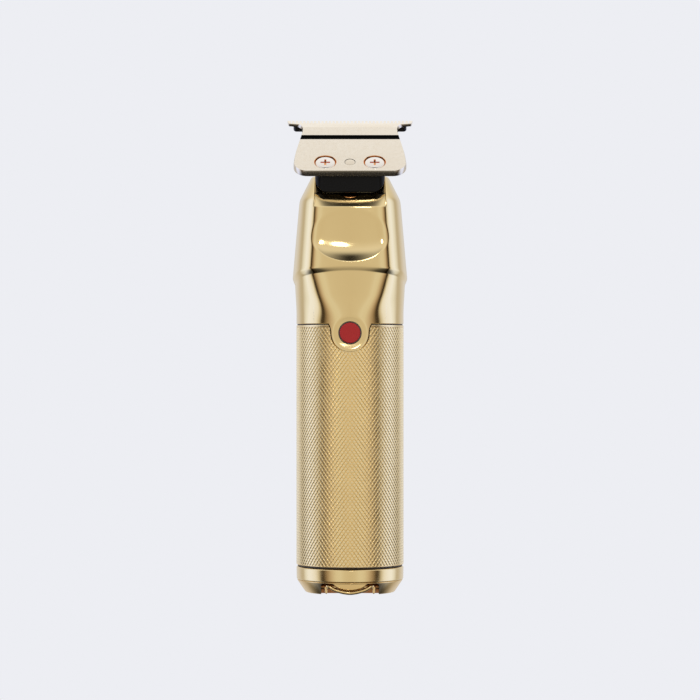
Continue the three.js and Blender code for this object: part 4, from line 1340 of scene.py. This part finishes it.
    def _dished(self, x: Array, y: Array, z: Array) -> Array:
        """The front skin with the thumb dish and the button's hollow pressed into it.

        The dish is an oval, deepest below its middle, so that its lower wall is the steepest. Both lie
        below the skin they are pressed into and follow its curve.

        Args:
            x: the skin's points across.
            y: their depth, negative in front.
            z: their height.

        Returns:
            The depths with both hollows.
        """
        rise = (z - self.dish_z) / self.dish[1]
        inside = 1 - ((x / self.dish[0]) ** 2 + rise**2) ** (self.dish_power / 2)
        sunk = self.dish_depth * inside * np.clip(1 - self.dish_skew * rise, *self.dish_skew_range)
        softness = self.dish_softness[0] + self.dish_softness[1] * np.clip(rise, 0, 1)
        near = (y < 0) & (inside > -self.pressed_margin)
        dished = np.where(near, y + soft_max(0.0, sunk, softness), y)
        reach, depth = self.dimple
        inside = 1 - (x**2 + (z - self.lobe_z) ** 2) / reach**2
        near = (y < 0) & (inside > -self.pressed_margin)
        return np.where(near, dished + soft_max(0.0, depth * inside, self.dimple_softness), dished)

    def _apron(self, first: Array) -> Array:
        """Rows from the lower edge up to the first row: the neck, and the tongue over the barrel.

        Args:
            first: the lowest row of the outer skin, right half.

        Returns:
            Rows by columns by three; the lowest follows the edge.
        """
        columns = first.shape[0]
        along = 30
        edge = np.empty((columns, 2))
        share = np.linspace(0, 1, along)
        edge[:along] = self._lobe_edge(share)
        start, end = self.lobe_flare[0], first[self.front_columns + 5, 0]
        rest = self.front_columns + 6 - along
        edge[along : along + rest, 0] = start + (end - start) * np.arange(1, rest + 1) / rest
        edge[along : along + rest, 1] = self.bottom
        t = np.linspace(0, 1, 44)[:-1, None] ** 0.9
        front = along + rest
        x = edge[None, :front, 0] + (first[None, :front, 0] - edge[None, :front, 0]) * t
        z = edge[None, :front, 1] + (first[None, :front, 2] - edge[None, :front, 1]) * t
        angle = np.arcsin(np.clip(x / self.radius, -1, 1))
        for _ in range(10):
            radius = self._skin_at(angle, z)
            angle = 0.5 * angle + 0.5 * np.arcsin(np.clip(x / radius, -1, 1))
        y = self._dished(x, -radius * np.cos(angle), z)
        near = np.stack([x, y, z], axis=-1)
        far_angle = np.arctan2(first[front:, 0], -first[front:, 1])
        z_far = self.bottom + (first[None, front:, 2] - self.bottom) * t
        far_radius = self._skin_at(far_angle[None, :] + 0 * z_far, z_far)
        far = np.stack([far_radius * np.sin(far_angle), -far_radius * np.cos(far_angle), z_far], axis=-1)
        return np.concatenate([near, far], axis=1)

    def _skin_at(self, angle: Array, z: Array) -> tuple[Array, Array]:
        """Radius of the neck at a true height, found from the row that rides up to it."""
        lift = self.lift * np.abs(np.cos(angle)) / (self.step[0] - self.bottom)
        row = np.where(z > self.bottom, self.bottom + (z - self.bottom) / (1 + lift), z)
        radius, _ = self._radius(angle, row)
        return np.where(z > self.bottom, radius, self.radius)

    def build(self) -> None:
        """Makes the head and everything that is fastened in it."""
        self._housing()
        self._button()
        self._bezel()
        self._neck_screw()

    def _housing(self) -> None:
        """The closed casting: outer skin, edge round its bottom, spigot, bore and top face."""
        outer = self._outer()
        apron = self._apron(outer[0])
        half = np.concatenate([apron, outer])
        mirrored = half[:, -2:0:-1] * (-1, 1, 1)
        skin = np.concatenate([half, mirrored], axis=1)
        columns = skin.shape[1]
        edge = skin[0]
        angle = np.arctan2(edge[:, 0], -edge[:, 1])

        def ring(radius: float, z: Array | float, centre: float = 0.0) -> Array:
            """A round row with one point for each column."""
            return np.stack([radius * np.sin(angle), centre - radius * np.cos(angle), z + 0 * angle], axis=-1)

        curled = ring(self.radius - 0.12, edge[:, 2] - 0.1)
        inner_edge = ring(self.spigot, edge[:, 2] - 0.1)
        hollow, roof = self.spigot_hollow
        below = [ring(hollow, roof), ring(hollow, self.spigot_bottom), ring(self.spigot, self.spigot_bottom)]
        bore = [ring(self.cavity[0][0], self.top, self.cavity_y)]
        bore += [ring(radius, z, self.cavity_y) for radius, z in self.cavity]
        grid = np.concatenate([np.stack([*bore, *below, inner_edge, curled]), skin])
        face = grid_quads(len(grid), columns)
        rim = [[Vector(p[:2].tolist() + [0]) for p in loop] for loop in (skin[-1], bore[0][::-1])]
        cap = np.array(tessellate_polygon(rim))
        last = (len(grid) - 1) * columns
        cap = np.where(cap < columns, cap + last, 2 * columns - 1 - cap)
        casting = Shell(grid.reshape(-1, 3), [face, cap])
        housing = make_piece("cast_head", [casting], self.shop.pick("head_gold", "black_plastic"), 26.0)
        bore_tool = prism(circle(3.65, 72, (0, self.lobe_z)), (-18, -10), (0, 0), finish=1).moved(from_front)
        pocket = filleted([
            (0, -7.5), (1.7, -7.5), (1.7, -1.6), (3.6, -1.6), (3.6, -0.12), (4.2, 0.5), (4.2, 4), (0, 4),
        ])
        carve(housing, [bore_tool, lathe(pocket, 64).moved(self._on_shoulder)], 26.0)
        hand_over(housing, "body", ["head_housing"])

    def _on_shoulder(self, points: Array) -> Array:
        """Carries a shape whose axis is Z to the shoulder's normal at the screw's pocket."""
        x, y, z = points.T
        half = math.sqrt(0.5)
        return np.stack([x, self.pocket[0] + (y - z) * half, self.pocket[1] + (y + z) * half], axis=1)

    def _button(self) -> None:
        """The push button: a satin cap with a soft edge and a shallow hollow, and its flange and stem."""
        profile = filleted([
            (0, -16.86), (2.2, -16.9, 0.6), (3.02, -16.88, 0.08), (3.2, -16.7, 0.1), (3.2, -12.6),
            (4.1, -12.6), (4.1, -11.9), (1.2, -11.9), (1.2, -11.6), (0, -11.6),
        ], 5)
        turned = lathe(profile, 72).moved(lambda p: p[:, [0, 2, 1]] + (0, 0, self.lobe_z))
        button = make_piece("push_button", [turned], self.shop.pick("button_red"))
        hand_over(button, "button", ["power_button"])

    def _bezel(self) -> None:
        """The thin dark ring round the button."""
        profile = filleted([(3.26, -16.75, 0.08), (3.5, -16.72, 0.1), (3.5, -14.9), (3.26, -14.9)], 4)
        turned = lathe(profile, 72).moved(lambda p: p[:, [0, 2, 1]] + (0, 0, self.lobe_z))
        bezel = make_piece("button_ring", [turned], self.shop.pick("dark_chrome"))
        hand_over(bezel, "body", ["button_bezel"])

    def _neck_screw(self) -> None:
        """The copper screw in the shoulder's pocket."""
        screw = cross_screw("shoulder_screw", self.shop, 3.2, (-1.3, -0.25), 1.35, -7.0, self._on_shoulder)
        hand_over(screw, "body", ["neck_screw"])


def cross_screw(
    name: str, shop: Shop, head: float, heights: tuple[float, float], shank: float, end: float,
    place: Callable[[Array], Array], finishes: tuple[str, str] = ("screw_copper", "screw_copper"),
) -> bpy.types.Object:
    """A screw with a low rounded head, a cross recess and a plain shank.

    Args:
        name: the piece's name.
        shop: the finishes.
        head: radius of the head.
        heights: lower and upper height of the head.
        shank: radius of the shank.
        end: height of the shank's end.
        place: carries the screw from its own axis to its place.
        finishes: those of the shank and recess, and of the head.

    Returns:
        The screw.
    """
    low, top = heights
    profile = filleted([
        (0, low), (head, low, 0.08), (head, top - 0.3, 0.15), (head - 0.35, top - 0.04, 0.3), (0, top),
    ], 5)
    screw = make_piece(name, [lathe(profile, 72, finish=1)], shop.pick(*finishes))
    carve(screw, [cross_recess(0.48 * head, 0.1 * head, top + 0.3, top - 0.75 * (top - low))])
    stem = filleted([
        (0, end), (shank - 0.4, end, 0.1), (shank, end + 0.6, 0.2), (shank, low + 0.2), (0, low + 0.2),
    ], 4)
    carve(screw, [lathe(stem, 40)], how=Cut.JOIN)
    placed = place(np.array([v.co[:] for v in screw.data.vertices]) / MM) * MM
    screw.data.vertices.foreach_set("co", placed.ravel())
    screw.data.update()
    return screw


@dataclass
class BladeSet:
    """The leaning plate and its comb, the cutter behind it, their screws and the block that holds them.

    Plates are drawn in the blade's own axes: x across, v up the plate and w out of its face.
    """

    shop: Shop
    origin: tuple[float, float] = (-15.2, 132.6)
    lean: float = 40.0
    length: float = 28.2
    thickness: float = 2.1
    comb: float = 1.4
    half: float = 20.0
    pitch: float = 1.17
    gap: float = 0.42
    depth: float = 1.7
    groove: tuple[float, float] = (17.0, 19.4)
    screw: tuple[float, float] = (7.75, 4.8)
    recess: float = 3.4
    fixing: tuple[float, float] = (4.4, 7.6)
    block_half: float = 10.95
    block_front: float = -12.8
    block_bottom: float = 126.0
    block_back: float = -3.83
    floor_gap: float = 0.3

    def on_blade(self, points: Array) -> Array:
        """Carries (x, v, w) to the trimmer's axes: turned back by the lean and moved to the plate's foot."""
        c, s = math.cos(math.radians(self.lean)), math.sin(math.radians(self.lean))
        x, v, w = points.T
        return np.stack([x, self.origin[0] + v * c - w * s, self.origin[1] + v * s + w * c], axis=1)

    def build(self) -> None:
        """Makes every piece of the set."""
        self._plate()
        self._cutter()
        self._yoke()
        self._pin()
        self._bracket()
        x, v = self.screw
        for side, hand in ((-1, "left"), (1, "right")):
            screw = cross_screw(
                f"plate_screw_{hand}", self.shop, 3.2, (-1.1, -0.1), 1.25, -6.5,
                lambda p, at=side * x: self.on_blade(p + (at, v, 0)), ("screw_copper", "screw_face"),
            )
            hand_over(screw, "body", [f"blade_screw_{hand}"])
            fixing = cross_screw(
                f"block_screw_{hand}", self.shop, 1.9, (-3.9, -2.5), 1.0, -12.0,
                lambda p, at=side * self.fixing[0]: self.on_blade(p + (at, self.fixing[1], 0)),
                ("steel", "steel"),
            )
            hand_over(fixing, "body", [f"bracket_screw_{hand}"])

    def _outline(self) -> Array:
        """The plate's outline: rounded foot, slightly narrowing sides, a waist and the two wings."""
        right = filleted([
            (0, 0), (18.0, 0, 4.6), (17.35, 9.6, 3.5), (15.85, 18.0, 1.5), (15.2, 21.6, 1.2),
            (15.35, 25.5, 1.85), (self.half - 0.3, 26.2, 0.35), (self.half, self.length, 0.1),
            (0, self.length),
        ], 9)
        return np.concatenate([right, right[-2:0:-1] * (-1, 1)])

    def _gaps(self, count: int, tip: float, depth: float, span: tuple[float, float], finish: int) -> Shell:
        """The spaces between teeth: rounded at the root and a little wider at the tip.

        Args:
            count: number of teeth.
            tip: v at the tips.
            depth: depth of a space.
            span: the heights it runs through.
            finish: index of the walls' finish.

        Returns:
            One tool.
        """
        half = self.gap / 2
        loop = filleted([
            (-half, tip - depth, 0.22), (half, tip - depth, 0.22), (half, tip - 0.45),
            (half + 0.14, tip + 0.5), (-half - 0.14, tip + 0.5), (-half, tip - 0.45),
        ], 3)
        one = prism(loop, span, (0, 0), finish=finish)
        shifts = (np.arange(count - 1) - (count - 2) / 2) * self.pitch
        return together([one.moved(lambda p, at=at: p + (at, 0, 0)) for at in shifts])

    def _plate(self) -> None:
        """The fixed blade: bevelled foot, black ground band, comb and thin tips."""
        blank = prism(self._outline(), (-self.thickness, 0), (0.1, 0.22), steps=1, drop=0.73)
        finishes = self.shop.pick("blade_gold", "blade_band", "screw_copper")
        plate = make_piece("comb_plate", [blank], finishes, 26.0)
        under = prism(np.array([(15.6, -4), (30, -4), (30, -self.comb), (16, -self.comb)]), (-30, 30), (0, 0))
        rise = prism(np.array([(23.7, 1), (23.7, 0), (30, -1.05), (30, 1)]), (-30, 30), (0, 0))
        carve(plate, [tool.moved(from_side) for tool in (under, rise)], 20.0)
        v0, v1 = self.groove
        band = np.array([(v0, 1), (v0 + 0.06, -0.3), (v1 - 0.06, -0.3), (v1, 1)])
        x, v = self.screw
        hole = filleted([
            (0, -4), (1.55, -4), (1.55, -1.3), (self.recess, -1.3), (self.recess, -0.14), (3.62, 0.1),
            (3.62, 1), (0, 1),
        ])
        pits = together([lathe(hole, 72, (side * x, v), finish=2) for side in (-1, 1)])
        eye = np.array([(0, -4), (1.68, -4), (1.68, -0.04), (1.76, 0.1), (1.76, 1), (0, 1)])
        pin = lathe(eye, 48, (0, v), finish=1)
        teeth = self._gaps(34, self.length, self.depth, (-4, 2), 0)
        band_tool = prism(band, (-30, 30), (0, 0), finish=1).moved(from_side)
        carve(plate, [band_tool, pits, pin, teeth], 20.0)
        self._settle(plate)
        hand_over(plate, "body", ["fixed_blade"])

    def _settle(self, piece: bpy.types.Object) -> None:
        """Leans a piece drawn in the blade's axes back to its place."""
        points = np.array([v.co[:] for v in piece.data.vertices]) / MM
        piece.data.vertices.foreach_set("co", (self.on_blade(points) * MM).ravel())
        piece.data.update()

    def _cutter(self) -> None:
        """The moving cutter: a black slab with two short wings and its own teeth."""
        right = filleted([
            (0, 16.4), (13.0, 16.4, 0.5), (13.0, 25.9, 0.3), (18.1, 25.9, 1.3), (18.1, 27.9, 0.15), (0, 27.9),
        ], 5)
        outline = np.concatenate([right, right[-2:0:-1] * (-1, 1)])
        slab = prism(outline, (-3.75, -1.5), (0.2, 0.1), steps=3)
        cutter = make_piece("black_cutter", [slab], self.shop.pick("cutter_black"))
        slope = prism(np.array([(24.5, -5), (29, -5), (29, -2.4), (24.5, -3.76)]), (-30, 30), (0, 0))
        carve(cutter, [slope.moved(from_side), self._gaps(31, 27.9, 1.5, (-6, 2), 0)])
        self._settle(cutter)
        hand_over(cutter, "cutter", ["moving_cutter"])

    def _yoke(self) -> None:
        """The block under the cutter, with the slot that the crank's roller runs in."""
        bottom = sizes("cutter_yoke")[0][2]
        body = filleted([(-6.5, 12.6, 0.8), (6.5, 12.6, 0.8), (6.5, 24.0, 0.8), (-6.5, 24.0, 0.8)])
        block = prism(body, (-8.0, -3.95), (0.3, 0.3), steps=3)
        yoke = make_piece("cutter_block", [block], self.shop.pick("black_plastic"))
        self._settle(yoke)
        slot = filleted([(-3.9, -0.8, 0.5), (3.9, -0.8, 0.5), (3.9, 4.9, 0.5), (-3.9, 4.9, 0.5)])
        carve(yoke, [prism(slot, (bottom - 5, 139.9), (0, 0.2))])
        hand_over(yoke, "cutter", ["cutter_yoke"])

    def _pin(self) -> None:
        """The locating pin between the screws."""
        profile = filleted([(0, -4.5), (1.6, -4.5), (1.6, -0.1, 0.08), (1.5, -0.05, 0.05), (0, -0.05)], 3)
        turned = lathe(profile, 48, (0, self.screw[1]))
        pin = make_piece("plate_pin", [turned], self.shop.pick("blade_gold"))
        self._settle(pin)
        hand_over(pin, "body", ["locating_pin"])

    def _bracket(self) -> None:
        """The black block: a side profile, cut to a rounded front and to rounded upright corners."""
        half, front, bottom, back = self.block_half, self.block_front, self.block_bottom, self.block_back
        lean = math.radians(self.lean)
        under = -self.thickness - 0.1
        along = np.array([front, back]) - self.origin[0]
        seats = self.origin[1] + (under + along * math.sin(lean)) / math.cos(lean)
        slope = self._floor_line()
        side = filleted([
            (front, bottom, 0.7), (bottom - slope, bottom, 0.3), (back - 0.5, back - 0.5 + slope),
            (back, back + slope), (back, seats[1]), (front, seats[0]),
        ])
        block = make_piece("blade_block", [prism(side, (-half, half), (0, 0)).moved(from_side)],
                           self.shop.pick("bracket_black"))
        above, behind = bottom + 25, back + 2
        face = filleted([(-half, bottom, 4.6), (half, bottom, 4.6), (half, above), (-half, above)], 10)
        plan = filleted([
            (-half, front, 2.6), (half, front, 2.6), (half, behind, 0.6), (-half, behind, 0.6),
        ], 10)
        carve(block, [prism(face, (front - 5, back + 5), (0, 0)).moved(from_front),
                      prism(plan, (bottom - 5, bottom + 30), (0, 0))], 30.0, Cut.KEEP)
        x, v = self.screw
        holes = [prism(circle(1.55, 32, (s * x, v)), (-9, 1), (0, 0)).moved(self.on_blade) for s in (-1, 1)]
        seat = np.array([(0, -16), (1.3, -16), (1.3, -4.2), (2.2, -4.2), (2.2, 1), (0, 1)], float)
        across, up = self.fixing
        holes += [lathe(seat, 32, (s * across, up)).moved(self.on_blade) for s in (-1, 1)]
        holes.append(prism(circle(1.9, 32, (0, v)), (-4.8, 1), (0, 0)).moved(self.on_blade))
        carve(block, holes, 30.0)
        hand_over(block, "body", ["head_bracket"])

    def _floor_line(self) -> float:
        """Height less depth of the block's sloping underside, just clear of the shoulder's floor."""
        depth, height = Head.recess
        return height - depth + self.floor_gap * math.sqrt(2)


@dataclass
class Drive:
    """The crank that shakes the cutter, and the spring that holds it against the plate."""

    shop: Shop
    motor_y: float = 2.0
    throw: float = 1.0

    def build(self) -> None:
        """Makes the drive's own pieces."""
        cam = filleted([
            (0, 132.7), (1.3, 132.7), (1.3, 130.5), (3.0, 130.5, 0.1), (3.2, 130.7), (3.2, 133.8),
            (3.0, 134, 0.1), (0, 134),
        ], 3)
        disc = make_piece("crank_disc", [lathe(cam, 64, (0, self.motor_y))], self.shop.pick("steel"))
        pin = filleted([(0, 133.5), (0.7, 133.5), (0.7, 139.3), (0.45, 139.6), (0, 139.6)], 3)
        carve(disc, [lathe(pin, 32, (0, self.motor_y + self.throw))], how=Cut.JOIN)
        hand_over(disc, "rotor", ["eccentric_cam"])
        bush = filleted([(0.95, 134.8), (1.5, 134.8, 0.15), (1.5, 139.2, 0.15), (0.95, 139.2)], 4)
        turned = lathe(bush, 48, (0, self.motor_y + self.throw))
        roller = make_piece("crank_roller", [turned], self.shop.pick("bronze"))
        hand_over(roller, "rotor", ["drive_bush"])
        self._spring()

    def _spring(self) -> None:
        """A wire bent to a U: a bar behind the block and two arms that press on the cutter."""
        blade = BladeSet(self.shop)
        arm = blade.on_blade(np.array([(8.6, 22, -4.5), (8.6, 18, -4.5), (8.6, 14, -4.6)]))
        arm = np.concatenate([arm, [(8.5, -2.6, 136), (7.9, -2.85, 134.6), (6.6, -2.85, 134)]])
        knots = np.concatenate([arm, arm[::-1] * (-1, 1, 1)])
        path = smooth_path(knots, 10)
        wire_form = swept(path, circle(0.4, 16), (0.3, 1.0, 0.35))
        spring = make_piece("wire_spring", [wire_form], self.shop.pick("steel"))
        hand_over(spring, "body", ["tension_spring"])


@dataclass
class Inside:
    """The pieces that stay as they were drawn, and the finish that each one gets."""

    shop: Shop
    finishes: dict[str, str] = field(default_factory=lambda: {
        "inner_chassis": "black_plastic", "battery_cell": "cell", "battery_contact_bottom": "steel",
        "battery_contact_top": "steel", "circuit_board": "board", "tact_switch": "black_plastic",
        "charge_chip": "black_plastic", "capacitor": "steel", "lead_red": "wire_red",
        "lead_black": "wire_black", "motor_can": "steel", "motor_end_bell": "black_plastic",
        "motor_shaft": "steel", "motor_mount": "black_plastic", "nose_bearing": "bronze",
    })

    def build(self, nodes: dict[str, bpy.types.Object]) -> None:
        """Gives each piece its finish.

        Args:
            nodes: the CAD nodes by name.
        """
        for name, finish in self.finishes.items():
            slots = nodes[name].data.materials
            if not slots:
                slots.append(None)
            for index in range(len(slots)):
                slots[index] = self.shop.finishes[finish]
            LOG.info("%s: %s", name, finish)


def main() -> None:
    """Builds the whole trimmer around its frame."""
    logging.basicConfig(level=logging.INFO, format="%(name)s %(message)s")
    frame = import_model()
    Studio().build()
    kit = ShaderKit()
    shop = Shop({finish.name: finish.material(kit) for finish in FINISHES})
    Foot(shop).build()
    head = Head(shop)
    Barrel(shop).build(head.tongue())
    head.build()
    BladeSet(shop).build()
    Drive(shop).build()
    Inside(shop).build(frame["nodes"])
    bpy.context.view_layer.update()


if __name__ == "__main__":
    main()
